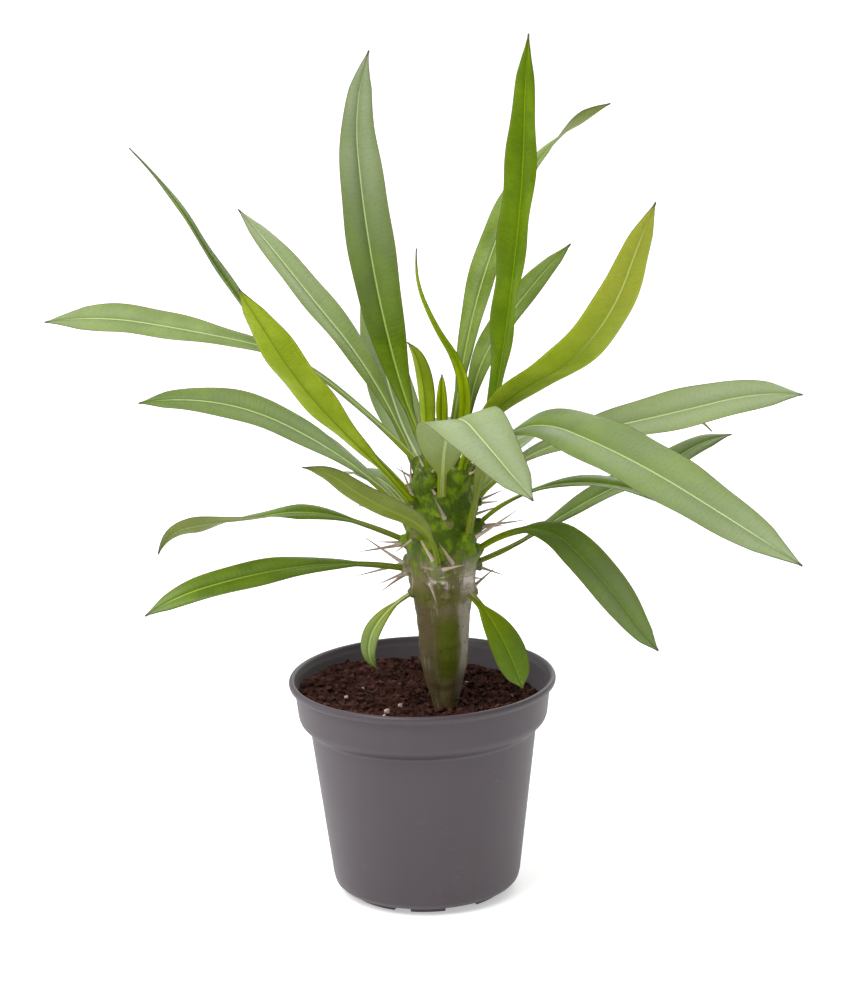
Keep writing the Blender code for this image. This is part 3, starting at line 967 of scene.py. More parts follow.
TONES = {
    Tone.GREEN: ToneFinish(
        LeafSide(
            "leaf_upper_green", blade=(0.130, 0.215, 0.004), patch_and_shade=(0.075, 0.135, 0.001),
            rib=(0.40, 0.52, 0.09), vein=(0.18, 0.27, 0.03), stalk=(0.16, 0.21, 0.0)),
        LeafSide(
            "leaf_under_green", blade=(0.165, 0.210, 0.020), patch_and_shade=(0.125, 0.165, 0.012),
            rib=(0.24, 0.30, 0.03), vein=(0.23, 0.28, 0.05), stalk=(0.15, 0.19, 0.0), rib_half=0.95,
            rib_show=0.5, roughness=0.5),
        Slot.GREEN),
    Tone.DEEP: ToneFinish(
        LeafSide(
            "leaf_upper_deep", blade=(0.122, 0.205, 0.0), patch_and_shade=(0.078, 0.140, 0.0),
            rib=(0.21, 0.32, 0.0), vein=(0.15, 0.23, 0.01), stalk=(0.15, 0.20, 0.0), rib_half=0.42,
            bright=(0.24, 0.33, 0.08), gloss=0.08),
        LeafSide(
            "leaf_under_deep", blade=(0.115, 0.165, 0.003), patch_and_shade=(0.085, 0.13, 0.002),
            rib=(0.20, 0.26, 0.02), vein=(0.17, 0.23, 0.02), stalk=(0.13, 0.18, 0.0), rib_half=0.95,
            rib_show=0.5, roughness=0.5, gloss=0.08),
        Slot.GREEN),
    Tone.PALE: ToneFinish(
        LeafSide(
            "leaf_upper_pale", blade=(0.185, 0.262, 0.048), patch_and_shade=(0.115, 0.180, 0.014),
            rib=(0.42, 0.52, 0.18), vein=(0.24, 0.31, 0.09), stalk=(0.17, 0.22, 0.0)),
        LeafSide(
            "leaf_under_pale", blade=(0.20, 0.255, 0.045), patch_and_shade=(0.16, 0.215, 0.028),
            rib=(0.28, 0.34, 0.07), vein=(0.26, 0.32, 0.09), stalk=(0.16, 0.20, 0.0), rib_half=0.95,
            rib_show=0.5, roughness=0.5),
        Slot.GREEN),
    Tone.FRESH: ToneFinish(
        LeafSide(
            "leaf_upper_fresh", blade=(0.285, 0.390, 0.0), patch_and_shade=(0.205, 0.305, 0.0),
            rib=(0.32, 0.40, 0.02), vein=(0.23, 0.30, 0.01), stalk=(0.18, 0.24, 0.0),
            grey=(0.33, 0.345, 0.045), bright=(0.50, 0.55, 0.20), gloss=0.06),
        LeafSide(
            "leaf_under_fresh", blade=(0.275, 0.350, 0.022), patch_and_shade=(0.20, 0.275, 0.008),
            # the underside's dark rib colour is a painted shadow along the midrib
            rib=(0.12, 0.18, 0.0), vein=(0.34, 0.39, 0.08), stalk=(0.20, 0.26, 0.0),
            grey=(0.33, 0.345, 0.045), bright=(0.50, 0.55, 0.20), rib_half=0.7, roughness=0.48, glow=0.2,
            vein_show=0.08, gloss=0.06),
        Slot.YELLOW),
}


@dataclass(frozen=True)
class Leaf:
    """One leaf, by its place on the crown and the way it grows.

    turn and height place its foot. rise is the midrib's angle above the level and sway its turn to the
    left of its first heading, both in even steps from foot to tip. roll lifts the blade's right edge,
    fold lifts both edges and wave ripples them. belly is how far along the blade it is widest, and stalk
    is the length of the petiole. shade, from foot to tip too, gives the leaf a painted shadow below 0 and a
    grey painted sheen, partly a waxy bloom, above.
    """

    name: str
    turn: float
    height: float
    rise: tuple[float, ...]
    sway: tuple[float, ...]
    length: float
    width: float
    roll: tuple[float, ...]
    fold: float
    wave: float
    belly: float = 0.56
    stalk: float = 11.0
    tone: Tone = Tone.GREEN
    shade: tuple[float, ...] = (0.0, 0.0)


LEAVES = (
    Leaf(
        "leaf_low_right", -40, 143, (-36, -48, -60, -70), (0, 0), 48, 18, (-10, -20), 6, 0.9, 0.58, 3.0,
        Tone.DEEP, (0.0, 0.1)),
    Leaf(
        "leaf_low_left", 200, 142, (-24, -38, -56, -88, -140), (0, 0), 42, 8.5, (35, 45), 10, 0.1, 0.6, 1.0,
        Tone.PALE, (0.6, 0.2, 0.1)),
    Leaf(
        "leaf_left_bottom", 193, 154, (14, 3, -6, -12, -30), (0, 0), 118, 15, (25, 40), 8, 0.4,
        shade=(-0.55, -0.5, -0.4, -0.1, 0.35)),
    Leaf(
        "leaf_left_curled", 184, 167, (26, 21, 8, -9, -5, -12, -72), (0, -9), 115, 14,
        (20, 26, 20, -14, -52, -40), 9, 0.6, shade=(-0.5, -0.3, 0.1, 0.2)),
    Leaf(
        "leaf_left_middle", 176, 180, (49, 36, 26, 7, -10), (0, -5), 130, 18, (26, 36), 10, 0.4,
        shade=(0.3, 0.55, 0.35, 0.1)),
    Leaf(
        "leaf_left_front", 265, 160, (60, 36, 26, 30, 37, 14), (-7, -30, -40), 126, 11.5, (-25, -55), 12,
        0.2, 0.5),
    Leaf(
        "leaf_left_high", 150.5, 201, (40, 33, 7, 5, -11), (0, 10.5), 196.5, 17, (5, 30, 42), 10, 0.5, 0.76,
        tone=Tone.PALE, shade=(0.0, 0.1, 0.3, 0.5)),
    Leaf("leaf_left_far", 164, 189, (46, 46, 51, 60, 45), (0, 0), 192, 14, (0, -10), 12, 0.3),
    Leaf(
        "leaf_left_slim", 132, 194, (62, 48, 36, 38, 35), (0, 4), 154, 17, (0, 12), 14, 0.35,
        tone=Tone.PALE, shade=(-0.1, 0.1, 0.6, 0.8)),
    Leaf(
        "leaf_left_yellow", 220, 187, (50, 44, 48, 57, 58), (0, -2), 141, 18.5, (-25, -35), 12, 0.9, 0.6,
        tone=Tone.FRESH),
    Leaf(
        "leaf_tall_left", 118, 202, (45, 68, 79, 86, 112), (0, 19, 36), 186, 23.5, (15, 30), 10, 0.5, 0.53,
        shade=(-0.15, -0.05, 0.3, 0.9, 1.2)),
    Leaf(
        "leaf_tall_shaded", 104, 188, (14, 14, 32, 60, 72), (0, 2), 138, 22, (0, 0), 10, 0.4, 0.48,
        shade=(0.5, 0.5)),
    Leaf(
        "leaf_tall_right", -5, 201, (58, 80, 82, 84, 88, 85), (0, 2), 192.5, 21, (-28, -32, -38, -58, -56),
        16, 0.9, 0.44, tone=Tone.DEEP),
    Leaf(
        "leaf_tall_back", 62, 204, (74, 67, 56, 38, 10), (0, -13, -24), 187, 18, (0, 0, 4, 20, 78), 14, 0.5,
        tone=Tone.PALE),
    Leaf(
        "leaf_back_short", 35, 198, (90, 76, 50, 41, 36), (0, -3), 113, 16, (0, -15), 12, 0.4,
        tone=Tone.PALE),
    Leaf(
        "leaf_right_yellow", -44, 200, (71, 42, 28, 49, 68, 64), (0, 11), 172, 24, (20, 32), 5, 0.4, 0.5,
        tone=Tone.FRESH, shade=(0.0, 0.0, 0.05, 0.7, 0.9)),
    Leaf(
        "leaf_front_folded", -88, 190, (62, 62, 38, -20, -32, -40), (0, 20, 48), 117, 33, (0, -14), 8, 0.5,
        0.45, tone=Tone.PALE, shade=(0.1, 0.5, 0.9, 0.9)),
    Leaf(
        "leaf_front_large", -50, 172, (74, 70, 27, -12, -18, -23, -24, -25), (0, 15, 17), 212, 31,
        (0, -36), 8, 0.6, 0.5, shade=(-0.3, -0.1, 0.4, 0.5, 0.6, 0.9)),
    Leaf(
        "leaf_right_pale", 14, 184, (44, 16, 8, 10, -8), (0, -4), 156.5, 22.5, (-25, -42), 10, 0.45, 0.6,
        tone=Tone.PALE, shade=(0.2, 0.4, 0.8, 0.9)),
    Leaf("leaf_right_hidden", 42, 176, (42, 12, 0, 2, -45), (0, -6), 155, 15, (0, 0), 12, 0.4),
    Leaf("leaf_right_middle", -2, 174, (43, 17, -5, -22, -18), (0, 0), 106, 14, (0, -15), 12, 0.3),
    Leaf(
        "leaf_right_slim", 16, 154, (16, 26, 24, 14, 26, 2), (0, 8), 130, 17, (0, -25), 12, 0.3,
        shade=(0.0, 0.2, 0.5, 0.5)),
    Leaf(
        "leaf_right_low", -14, 163, (36, 12, -43, -49, -55, -47), (0, 0), 104, 21, (-25, -42), 8, 0.4,
        0.46, 18.0, Tone.DEEP, (0.0, 0.1, 0.4, 0.4)),
    Leaf(
        "leaf_young_hooked", -115, 202, (85, 92, 82, 62, 30), (0, 0), 65, 9, (0, 0), 25, 0.2, 0.48, 3.0,
        Tone.FRESH),
    Leaf(
        "leaf_young_thin", 24, 208, (64, 94, 124, 112, 84), (0, 0), 95, 7, (-45, -20, 0), 20, 0.1, 0.24, 4,
        Tone.FRESH),
    Leaf(
        "leaf_young_short", 78, 210, (80, 88, 90), (0, 0), 28, 6, (0, 0), 25, 0.0, 0.36, 3.0,
        Tone.FRESH),
    Leaf("leaf_rear_right", 68, 164, (32, 20, 6, -8, -18), (0, 0), 130, 17, (0, 0), 10, 0.4),
    Leaf("leaf_rear_middle", 90, 176, (30, 18, 4, -10, -24), (0, 0), 122, 18, (0, 0), 10, 0.5),
    Leaf("leaf_rear_left", 112, 162, (26, 14, -2, -14, -26), (0, 0), 116, 16, (0, 0), 10, 0.4),
    Leaf("leaf_rear_high", 136, 174, (30, 23, 18, 11, 3), (0, 0), 104, 13, (0, 0), 10, 0.4),
)


@dataclass(frozen=True)
class Station:
    """A place on a leaf's midrib with the leaf's directions there."""

    t: float
    point: Vector
    along: Vector
    side: Vector
    upper: Vector


@dataclass
class Crown:
    """Where leaves, scars and bosses stand on the trunk, and how a leaf leaves its boss."""

    x: float = 10.0
    y: float = -8.0
    reach: Table = ((141, 15.5), (151, 18.2), (172, 18.6), (188, 17.0), (198, 14.5), (205, 10.5), (213, 6.0))
    gap: float = 0.3
    scar_rise: float = 12.0
    spiral_turn: float = 137.5
    spiral_steps: int = 40
    spiral_start: float = 141.5
    spiral_rise: float = 1.55
    spiral_clear: float = 9.5

    def seat(self, turn: float, height: float) -> Vector:
        """Point where a boss ends and a leaf starts."""
        return Vector((self.x, self.y, height)) + heading(turn, 0) * on_table(self.reach, height)

    def seats(self) -> list[Triple]:
        """Turn, height and rise of every boss.

        Returns:
            The leaves' bosses first, then the bare ones on a spiral where no leaf stands.
        """
        made = [(leaf.turn, leaf.height, leaf.rise[0]) for leaf in LEAVES]
        taken = [self.seat(leaf.turn, leaf.height) for leaf in LEAVES]
        for step in range(self.spiral_steps):
            turn = step * self.spiral_turn
            height = self.spiral_start + step * self.spiral_rise
            point = self.seat(turn, height)
            if all((point - other).length > self.spiral_clear for other in taken):
                taken.append(point)
                made.append((turn, height, self.scar_rise))
        return made

    def midrib(self, leaf: Leaf, steps: int, root: float = 0.0) -> list[Station]:
        """Stations of a leaf's midrib from foot to tip.

        Args:
            leaf: the leaf.
            steps: even steps along it.
            root: how far an extra first station lies behind the foot, inside the boss.

        Returns:
            The stations; with a root, the extra one comes first.
        """
        start = heading(leaf.turn, leaf.rise[0])
        point = self.seat(leaf.turn, leaf.height) + start * self.gap
        made = []
        for step in range(steps + 1):
            t = step / steps
            turn = leaf.turn + between(leaf.sway, t)
            along = heading(turn, between(leaf.rise, t))
            spin = Matrix.Rotation(-math.radians(between(leaf.roll, t)), 3, along)
            side = spin @ right_of(turn)
            made.append(Station(t, point, along, side, side.cross(along)))
            halfway = t + 0.5 / steps
            turn = leaf.turn + between(leaf.sway, halfway)
            point = point + heading(turn, between(leaf.rise, halfway)) * (leaf.length / steps)
        if root:
            foot = made[0]
            back = Station(-root / leaf.length, foot.point - start * root, foot.along, foot.side, foot.upper)
            made.insert(0, back)
        return made


@dataclass
class BladeShape:
    """How wide, thick and waved a leaf is at each place."""

    petiole_share: float = 0.115
    petiole_least: float = 1.1
    petiole_most: float = 2.0
    stout_before: float = 2.0
    stout_fade: float = 15.0
    petiole_thick: float = 1.05
    tip_half: float = 0.4
    tip_start: float = 0.9
    foot_taper: float = 0.9
    tip_taper: float = 0.6
    wave_length: float = 38.0
    wave_shift: float = 2.2
    edge_thick: float = 0.13
    web_thick: float = 0.17
    groove: float = 0.34
    groove_half: float = 0.55
    groove_fade: float = 0.6
    ridge: float = 0.7
    ridge_half: float = 0.75
    ridge_fade: float = 0.8

    def petiole_half(self, leaf: Leaf) -> float:
        """Half the petiole's width: a share of the leaf's, within limits."""
        return clamp(self.petiole_share * leaf.width, self.petiole_least, self.petiole_most)

    def half_width(self, leaf: Leaf, t: float) -> float:
        """Half the leaf's width at t of its length: a petiole, a long blade, a straight-sided tip.

        Args:
            leaf: the leaf.
            t: the place along it, from 0 to 1.

        Returns:
            Half the width there.
        """
        blade = (t * leaf.length - leaf.stalk) / (leaf.length - leaf.stalk)
        if blade <= 0:
            return self.petiole_half(leaf)
        body = min(blade, self.tip_start)
        swell = math.sin(math.pi * body ** (math.log(0.5) / math.log(leaf.belly)))
        taper = self.foot_taper + (self.tip_taper - self.foot_taper) * body
        tip = clamp((1 - blade) / (1 - self.tip_start))
        least = self.petiole_half(leaf) if blade < 0.5 else self.tip_half
        return max(leaf.width / 2 * swell ** taper * tip, least)

    def middle(self, leaf: Leaf, station: Station, across: float) -> Vector:
        """Point halfway through the blade.

        Args:
            leaf: the leaf.
            station: the place along it.
            across: the place across it, from -1 on the left to 1.

        Returns:
            The point.
        """
        half = self.half_width(leaf, station.t)
        swell = min(half / (leaf.width / 2), 1.0) if half > self.petiole_half(leaf) else 0.0
        fold = math.radians(leaf.fold) * swell
        phase = leaf.turn + (0.0 if across > 0 else self.wave_shift)
        ripple = math.sin(2 * math.pi * station.t * leaf.length / self.wave_length + phase)
        lift = abs(across) * half * math.sin(fold) + leaf.wave * ripple * swell * across ** 2
        return station.point + station.side * (across * half * math.cos(fold)) + station.upper * lift

    def skin(self, leaf: Leaf, station: Station, across: float, face: int) -> Vector:
        """Point on the leaf's skin.

        Args:
            leaf: the leaf.
            station: the place along it.
            across: the place across it, from -1 on the left to 1.
            face: 1 for the upper side, -1 for the underside and 0 for the edge.

        Returns:
            The point.
        """
        half = self.half_width(leaf, station.t)
        away = abs(across) * half
        depth = station.t * leaf.length - leaf.stalk
        stout = clamp(1 - (depth + self.stout_before) / self.stout_fade)
        round_off = math.sqrt(max(1 - across ** 2, 0.0))
        web = self.edge_thick + self.web_thick * (1 - across ** 2)
        thick = web * (1 - stout) + self.petiole_thick * round_off * stout
        if face > 0:
            fade = 1 - self.groove_fade * max(station.t, 0)
            thick -= self.groove * math.exp(-(away / self.groove_half) ** 2) * fade
        if face < 0:
            fade = (1 - stout) * (1 - self.ridge_fade * station.t)
            thick += self.ridge * math.exp(-(away / self.ridge_half) ** 2) * fade
        return self.middle(leaf, station, across) + station.upper * (thick * face)


@dataclass
class Foliage:
    """Every leaf, each as its own piece with an upper side and an underside."""

    crown: Crown
    blade: BladeShape = field(default_factory=BladeShape)
    sides: int = 36
    crowding: float = 1.5
    spacing: float = 2.2
    least_steps: int = 30
    root: float = 2.4
    sharp: float = 70.0
    seed: int = 5
    materials: dict[str, bpy.types.Material] = field(default_factory=dict)

    def ring_place(self, x: float, y: float) -> tuple[float, int]:
        """Where a point of the cylinder's ring lies on the leaf.

        Args:
            x: across the cylinder, from -1 to 1.
            y: its upper side when above 0.

        Returns:
            The place across the leaf from -1 to 1, and its face as in BladeShape.skin.
        """
        step = round(math.atan2(y, x) / (2 * math.pi) * self.sides)
        part = 1 - 2 * abs(step) / (self.sides / 2)
        face = 0 if abs(step) in (0, self.sides // 2) else (1 if step > 0 else -1)
        return -math.copysign(abs(part) ** self.crowding, part), face

    def blank(self, leaf: Leaf, steps: int) -> Object:
        """A closed cylinder with even rings, its upper and under faces marked.

        Args:
            leaf: the leaf, for its name.
            steps: steps along the cylinder.

        Returns:
            The cylinder, 2 high and 2 across.
        """
        made = Bench.primitive(
            f"{leaf.name}_grown", bpy.ops.mesh.primitive_cylinder_add, vertices=self.sides, radius=1,
            depth=2, location=(0, 0, 0))
        bpy.ops.object.mode_set(mode="EDIT")
        shape = bmesh.from_edit_mesh(made.data)
        for part in (*shape.faces, *shape.edges, *shape.verts):
            part.select_set(False)
        for edge in shape.edges:
            edge.select_set(abs(edge.verts[0].co.z - edge.verts[1].co.z) > 1)
        bmesh.update_edit_mesh(made.data)
        bpy.ops.mesh.subdivide(number_cuts=steps - 1)
        bpy.ops.object.mode_set(mode="OBJECT")
        for face in made.data.polygons:
            face.material_index = 0 if face.center.y > 0 else 1
        return made

    def grow(self, leaf: Leaf, chance: float, finish: ToneFinish) -> Object:
        """Shape one leaf along its midrib.

        Args:
            leaf: the leaf.
            chance: its own shade, from 0 to 1.
            finish: its two sides.

        Returns:
            The finished leaf.
        """
        steps = max(round(leaf.length / self.spacing), self.least_steps)
        stations = self.crown.midrib(leaf, steps, self.root)
        made = self.blank(leaf, steps + 1)
        blade = []
        share = []
        for vertex in made.data.vertices:
            station = stations[round((vertex.co.z + 1) / 2 * (steps + 1))]
            across, face = self.ring_place(vertex.co.x, vertex.co.y)
            half = self.blade.half_width(leaf, station.t)
            vertex.co = self.blade.skin(leaf, station, across, face) * MM
            blade.append(Vector((station.t * leaf.length, across * half, half * (1 - abs(across)))))
            # the middle number sets the painted shadow below 0 and the painted sheen above 0
            share.append(Vector((station.t, between(leaf.shade, station.t), chance)))
        Bench.write(made, "blade", blade)
        Bench.write(made, "share", share)
        materials = [self.materials[side.name] for side in (finish.upper, finish.under)]
        return Bench.finish(made, finish.slot, [leaf.name], materials, self.sharp)

    def build(self) -> list[Object]:
        """Grow every leaf.

        Returns:
            The leaves.
        """
        for finish in TONES.values():
            for side in (finish.upper, finish.under):
                self.materials[side.name] = side.material()
        draw = random.Random(self.seed)
        return [self.grow(leaf, draw.random(), TONES[leaf.tone]) for leaf in LEAVES]


@dataclass
class Pot:
    """The nursery pot: tapered wall, rim band, rolled lip, six feet and drain holes."""

    profile: Table = (
        (0.0, 3.1), (35.6, 3.1), (38.6, 4.2), (40.4, 6.2), (41.1, 8.5), (49.6, 78.0), (50.6, 80.0),
        (53.9, 82.6), (54.6, 84.6), (56.16, 96.6), (57.4, 99.4), (58.4, 100.0), (59.4, 99.7), (60.0, 98.6),
        (59.8, 97.2), (59.2, 96.5), (57.6, 96.3), (57.3, 95.0), (55.9, 83.0), (55.2, 80.9), (53.4, 78.9),
        (51.6, 77.7), (50.8, 76.4), (42.3, 8.5), (41.5, 5.3), (39.8, 3.4), (37.6, 2.4), (35.6, 2.0),
        (35.1, 0.0), (31.4, 0.0), (31.2, 2.0), (0.0, 2.0))
    steps: int = 144
    rounding: float = 0.7
    notches: Table = ((-109, 13), (-64, 26), (-8, 20), (50, 22), (106, 20), (168, 24))
    notch_radius: float = 34.4
    notch_depth: float = 10.0
    notch_height: float = 2.0
    foot_outer: float = 35.4
    drain_holes: int = 6
    drain_circle: float = 20.0
    drain_radius: float = 4.0
    drain_sides: int = 32
    floor_top: float = 3.1
    notch_round: float = 0.5
    sharp: float = 32.0

    def notch(self, turn: float, width: float) -> Object:
        """A rounded block that cuts one notch between two feet.

        Args:
            turn: the notch's turn about +Z.
            width: its width in degrees.

        Returns:
            The block.
        """
        chord = 2 * self.foot_outer * math.sin(math.radians(width / 2))
        place = heading(turn, 0) * self.notch_radius * MM
        made = Bench.primitive(
            "notch", bpy.ops.mesh.primitive_cube_add, size=1, location=place,
            rotation=(0, 0, math.radians(turn)))
        made.scale = (self.notch_depth * MM, chord * MM, 2 * self.notch_height * MM)
        Bench.settle(made)
        Bench.apply(made, "BEVEL", width=self.notch_round * MM, segments=3)
        return made

    def drain(self, index: int) -> Object:
        """A peg that cuts one drain hole."""
        place = heading((index + 0.5) * 360 / self.drain_holes, 0) * self.drain_circle * MM
        return Bench.primitive(
            "drain", bpy.ops.mesh.primitive_cylinder_add, vertices=self.drain_sides,
            radius=self.drain_radius * MM, depth=4 * self.floor_top * MM, location=place)

    def build(self) -> Object:
        """Turn the wall, cut the notches and the holes, and dress it.

        Returns:
            The pot.
        """
        made = Bench.turned("pot_moulded", softened(self.profile, self.rounding), self.steps)
        cutters = [self.notch(turn, width) for turn, width in self.notches]
        cutters += [self.drain(index) for index in range(self.drain_holes)]
        Bench.cut(made, cutters)
        return Bench.finish(made, Slot.POT, ["pot"], [PotPlastic().material()], self.sharp)


@dataclass
class Peat:
    """The peat: an uneven body with loose crumbs, fibres and perlite on it.

    lumps and crumbs are rows of size, lift and seed, and grains of x, y and size. A pair gives the two ends
    of a random draw, but fibre_thick a fibre's two half widths. Leans and turns are in radians. long, thick
    and lift are shares of a crumb's or grain's size, and fibre_lift is in millimetres. loose_size and
    stem_heights give the least, the spread and the power of a draw. stem_radius is the stem's radius, how
    fast it widens and from which height.
    """

    crown: Crown
    level: float = 90.0
    tilt: float = 0.08
    dip: float = 2.6
    dip_radius: float = 14.0
    lumps: Sequence[Triple] = ((11.0, 1.5, 3.1), (5.0, 1.1, 7.7))
    crumbs: Sequence[Triple] = ((3.4, 2.1, 1.3), (1.3, 0.9, 5.9))
    calm: float = 8.0
    band_radius: float = 54.6
    band_height: float = 84.6
    band_flare: float = 0.13
    steps: int = 240
    rings: int = 78
    edge: float = 54.2
    calm_edge: float = 3.0
    stretch_from: float = 44.0
    grip: float = 0.15
    side: Table = (
        (54.1, 85.0), (53.2, 82.9), (49.9, 80.3), (49.3, 78.0), (40.8, 8.5), (39.8, 6.4), (38.0, 4.6))
    floor: Table = ((35.0, 3.4), (0.0, 3.4))
    strewn: float = 53.0
    loose: int = 1500
    loose_size: Triple = (0.45, 1.75, 3.0)
    loose_long: Span = (0.8, 1.5)
    loose_thick: Span = (0.55, 0.9)
    loose_lean: Span = (-0.6, 0.6)
    loose_lift: Span = (-0.15, 0.45)
    fibres: int = 220
    fibre_length: Span = (1.6, 3.6)
    fibre_thick: Span = (0.16, 0.14)
    fibre_lean: Span = (-0.5, 0.5)
    fibre_lift: Span = (0.3, 0.9)
    turns: Span = (0.0, 6.28)
    stem_crumbs: int = 46
    stem_size: Span = (0.3, 0.85)
    stem_thick: float = 0.8
    stem_heights: Triple = (85.5, 8.5, 1.6)
    stem_radius: Triple = (5.0, 0.17, 86.0)
    grain_lift: float = 0.7
    grain_long: Span = (0.9, 1.3)
    grain_thick: Span = (0.7, 0.95)
    grain_turns: Span = (0.0, 6.0)
    grains: Sequence[Triple] = (
        (-15.8, -30.0, 1.4), (-17.0, -33.0, 1.1), (-10.0, -19.0, 1.0), (26.0, -27.0, 1.5), (0.0, -40.0, 1.3),
        (-15.5, -23.0, 0.9), (1.5, -49.5, 1.0), (-34.0, -12.0, 0.9), (31.0, -12.0, 1.0), (-27.0, 8.0, 1.0),
        (20.0, 22.0, 1.2), (-8.0, 30.0, 1.1), (40.0, 3.0, 0.9), (-42.0, 10.0, 1.0), (6.0, 12.0, 1.0),
        (-30.0, -33.0, 1.0), (14.0, -38.0, 0.8))
    stem_clear: float = 6.0
    sharp: float = 80.0
    seed: int = 23

    def height(self, x: float, y: float) -> float:
        """Height of the peat's coarse top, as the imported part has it.

        Args:
            x: the place's x from the pot's axis.
            y: its y.

        Returns:
            The height.
        """
        away = math.hypot(x - self.crown.x, y - self.crown.y)
        lumps = sum(lift * noise.noise(Vector((x / size, y / size, seed))) for size, lift, seed in self.lumps)
        calm = clamp(away / self.calm - 1)
        return self.level - self.tilt * x - self.dip * math.exp(-(away / self.dip_radius) ** 2) + lumps * calm

    def crumbled(self, x: float, y: float) -> float:
        """Height of the crumbled top at a place.

        Args:
            x: the place's x from the pot's axis.
            y: its y.

        Returns:
            The height.
        """
        rough = 0.0
        for size, lift, seed in self.crumbs:
            rough += lift * abs(noise.noise(Vector((x / size, y / size, seed)))) * 2 - lift * 0.4
        return self.height(x, y) + rough * clamp((self.edge - math.hypot(x, y)) / self.calm_edge)

    def body(self) -> Object:
        """The body that fills the pot, with its top raised point by point.

        Returns:
            The body, closed all round.
        """
        top = [(self.edge * step / self.rings, self.level) for step in range(self.rings + 1)]
        made = Bench.turned("soil_crumbled", [*top, *self.side, *self.floor], self.steps)
        for vertex in made.data.vertices:
            if vertex.co.z < (self.level - 0.01) * MM:
                continue
            x, y = vertex.co.x / MM, vertex.co.y / MM
            away = math.hypot(x, y)
            height = self.crumbled(x, y)
            reach = self.band_radius + self.band_flare * (height - self.band_height) + self.grip
            outer = clamp((away - self.stretch_from) / (self.edge - self.stretch_from))
            stretch = 1 + (reach / self.edge - 1) * outer
            vertex.co = Vector((x * stretch, y * stretch, height)) * MM
        return made

    def spots(self, count: int, draw: random.Random) -> Iterator[Vector]:
        """Places on the peat's top, clear of the stem.

        Args:
            count: how many.
            draw: the seeded source of chance.

        Yields:
            Points in millimetres.
        """
        made = 0
        while made < count:
            away = self.strewn * math.sqrt(draw.random())
            turn = draw.uniform(0, 360)
            point = heading(turn, 0) * away
            if math.hypot(point.x - self.crown.x, point.y - self.crown.y) < self.stem_clear:
                continue
            made += 1
            yield Vector((point.x, point.y, self.crumbled(point.x, point.y)))

    @staticmethod
    def lump(name: str, roughness: float, seed: float, detail: int, waves: float = 1.7) -> Object:
        """A rough little lump of 1 mm radius, as a pattern for copies.

        Args:
            name: its name.
            roughness: how far its points move, as a share.
            seed: which lump it is.
            detail: how finely it is divided.
            waves: how close together its dents lie.

        Returns:
            The pattern.
        """
        made = Bench.primitive(
            name, bpy.ops.mesh.primitive_ico_sphere_add, subdivisions=detail, radius=MM, location=(0, 0, 0))
        for vertex in made.data.vertices:
            way = vertex.co.normalized()
            vertex.co = vertex.co * (1 + roughness * noise.noise(way * waves + Vector((seed, 0, 0))))
        return made

    def scatter(self, name: str, places: list[tuple[Matrix, float]], pattern: Object, loose: float) -> Object:
        """Copies of a pattern joined in one object, each with its own stored chance.

        Args:
            name: name of the object.
            places: the place of each copy, and its chance from 0 to 1.
            pattern: what is copied.
            loose: stored with the chance: 1 on crumbs and fibres, 0 on perlite.

        Returns:
            The joined copies.
        """
        made = Bench.copies(pattern, [place for place, _ in places])
        for copy, (_, chance) in zip(made, places):
            Bench.write(copy, "crumb", [Vector((chance, loose, 0))] * len(copy.data.vertices))
        return Bench.joined(name, made)

    @staticmethod
    def laid(
            spot: Vector, shape: Sequence[float], lean: float = 0.0, axis: str = "X", turn: float = 0.0,
            lift: float = 0.0) -> Matrix:
        """Where a copy of a lump goes.

        Args:
            spot: the place on the peat.
            shape: its three half sizes.
            lean: its lean in radians.
            axis: the level axis that it leans about.
            turn: its turn about +Z in radians.
            lift: how far it is raised.

        Returns:
            The copy's matrix.
        """
        spot.z += lift
        spin = Matrix.Rotation(turn, 4, "Z") @ Matrix.Rotation(lean, 4, axis)
        return Matrix.Translation(spot * MM) @ spin @ Matrix.Diagonal((*shape, 1))

    def crumb_places(self, draw: random.Random) -> list[tuple[Matrix, float]]:
        """Places of the loose crumbs, many small ones and few large ones.

        Args:
            draw: the seeded source of chance.

        Returns:
            The place and the chance of each.
        """
        least, more, power = self.loose_size
        made = []
        for spot in self.spots(self.loose, draw):
            size = least + more * draw.random() ** power
            shape = (size * draw.uniform(*self.loose_long), size, size * draw.uniform(*self.loose_thick))
            place = self.laid(
                spot, shape, draw.uniform(*self.loose_lean), "X", draw.uniform(*self.turns),
                size * draw.uniform(*self.loose_lift))
            made.append((place, draw.random()))
        return made

    def fibre_places(self, draw: random.Random) -> list[tuple[Matrix, float]]:
        """Places of the short peat fibres.

        Args:
            draw: the seeded source of chance.

        Returns:
            The place and the chance of each.
        """
        made = []
        for spot in self.spots(self.fibres, draw):
            shape = (draw.uniform(*self.fibre_length), *self.fibre_thick)
            place = self.laid(
                spot, shape, draw.uniform(*self.fibre_lean), "Y", draw.uniform(*self.turns),
                draw.uniform(*self.fibre_lift))
            made.append((place, draw.random()))
        return made

    def stem_places(self, draw: random.Random) -> list[tuple[Matrix, float]]:
        """Places of the crumbs that stick to the foot of the stem.

        Args:
            draw: the seeded source of chance.

        Returns:
            The place and the chance of each.
        """
        least, more, power = self.stem_heights
        radius, widening, start = self.stem_radius
        made = []
        for _ in range(self.stem_crumbs):
            turn = draw.uniform(0, 360)
            height = least + more * draw.random() ** power
            away = radius + max(height - start, 0) * widening
            spot = Vector((self.crown.x, self.crown.y, height)) + heading(turn, 0) * away
            size = draw.uniform(*self.stem_size)
            made.append((self.laid(spot, (size, size, size * self.stem_thick)), draw.random()))
        return made

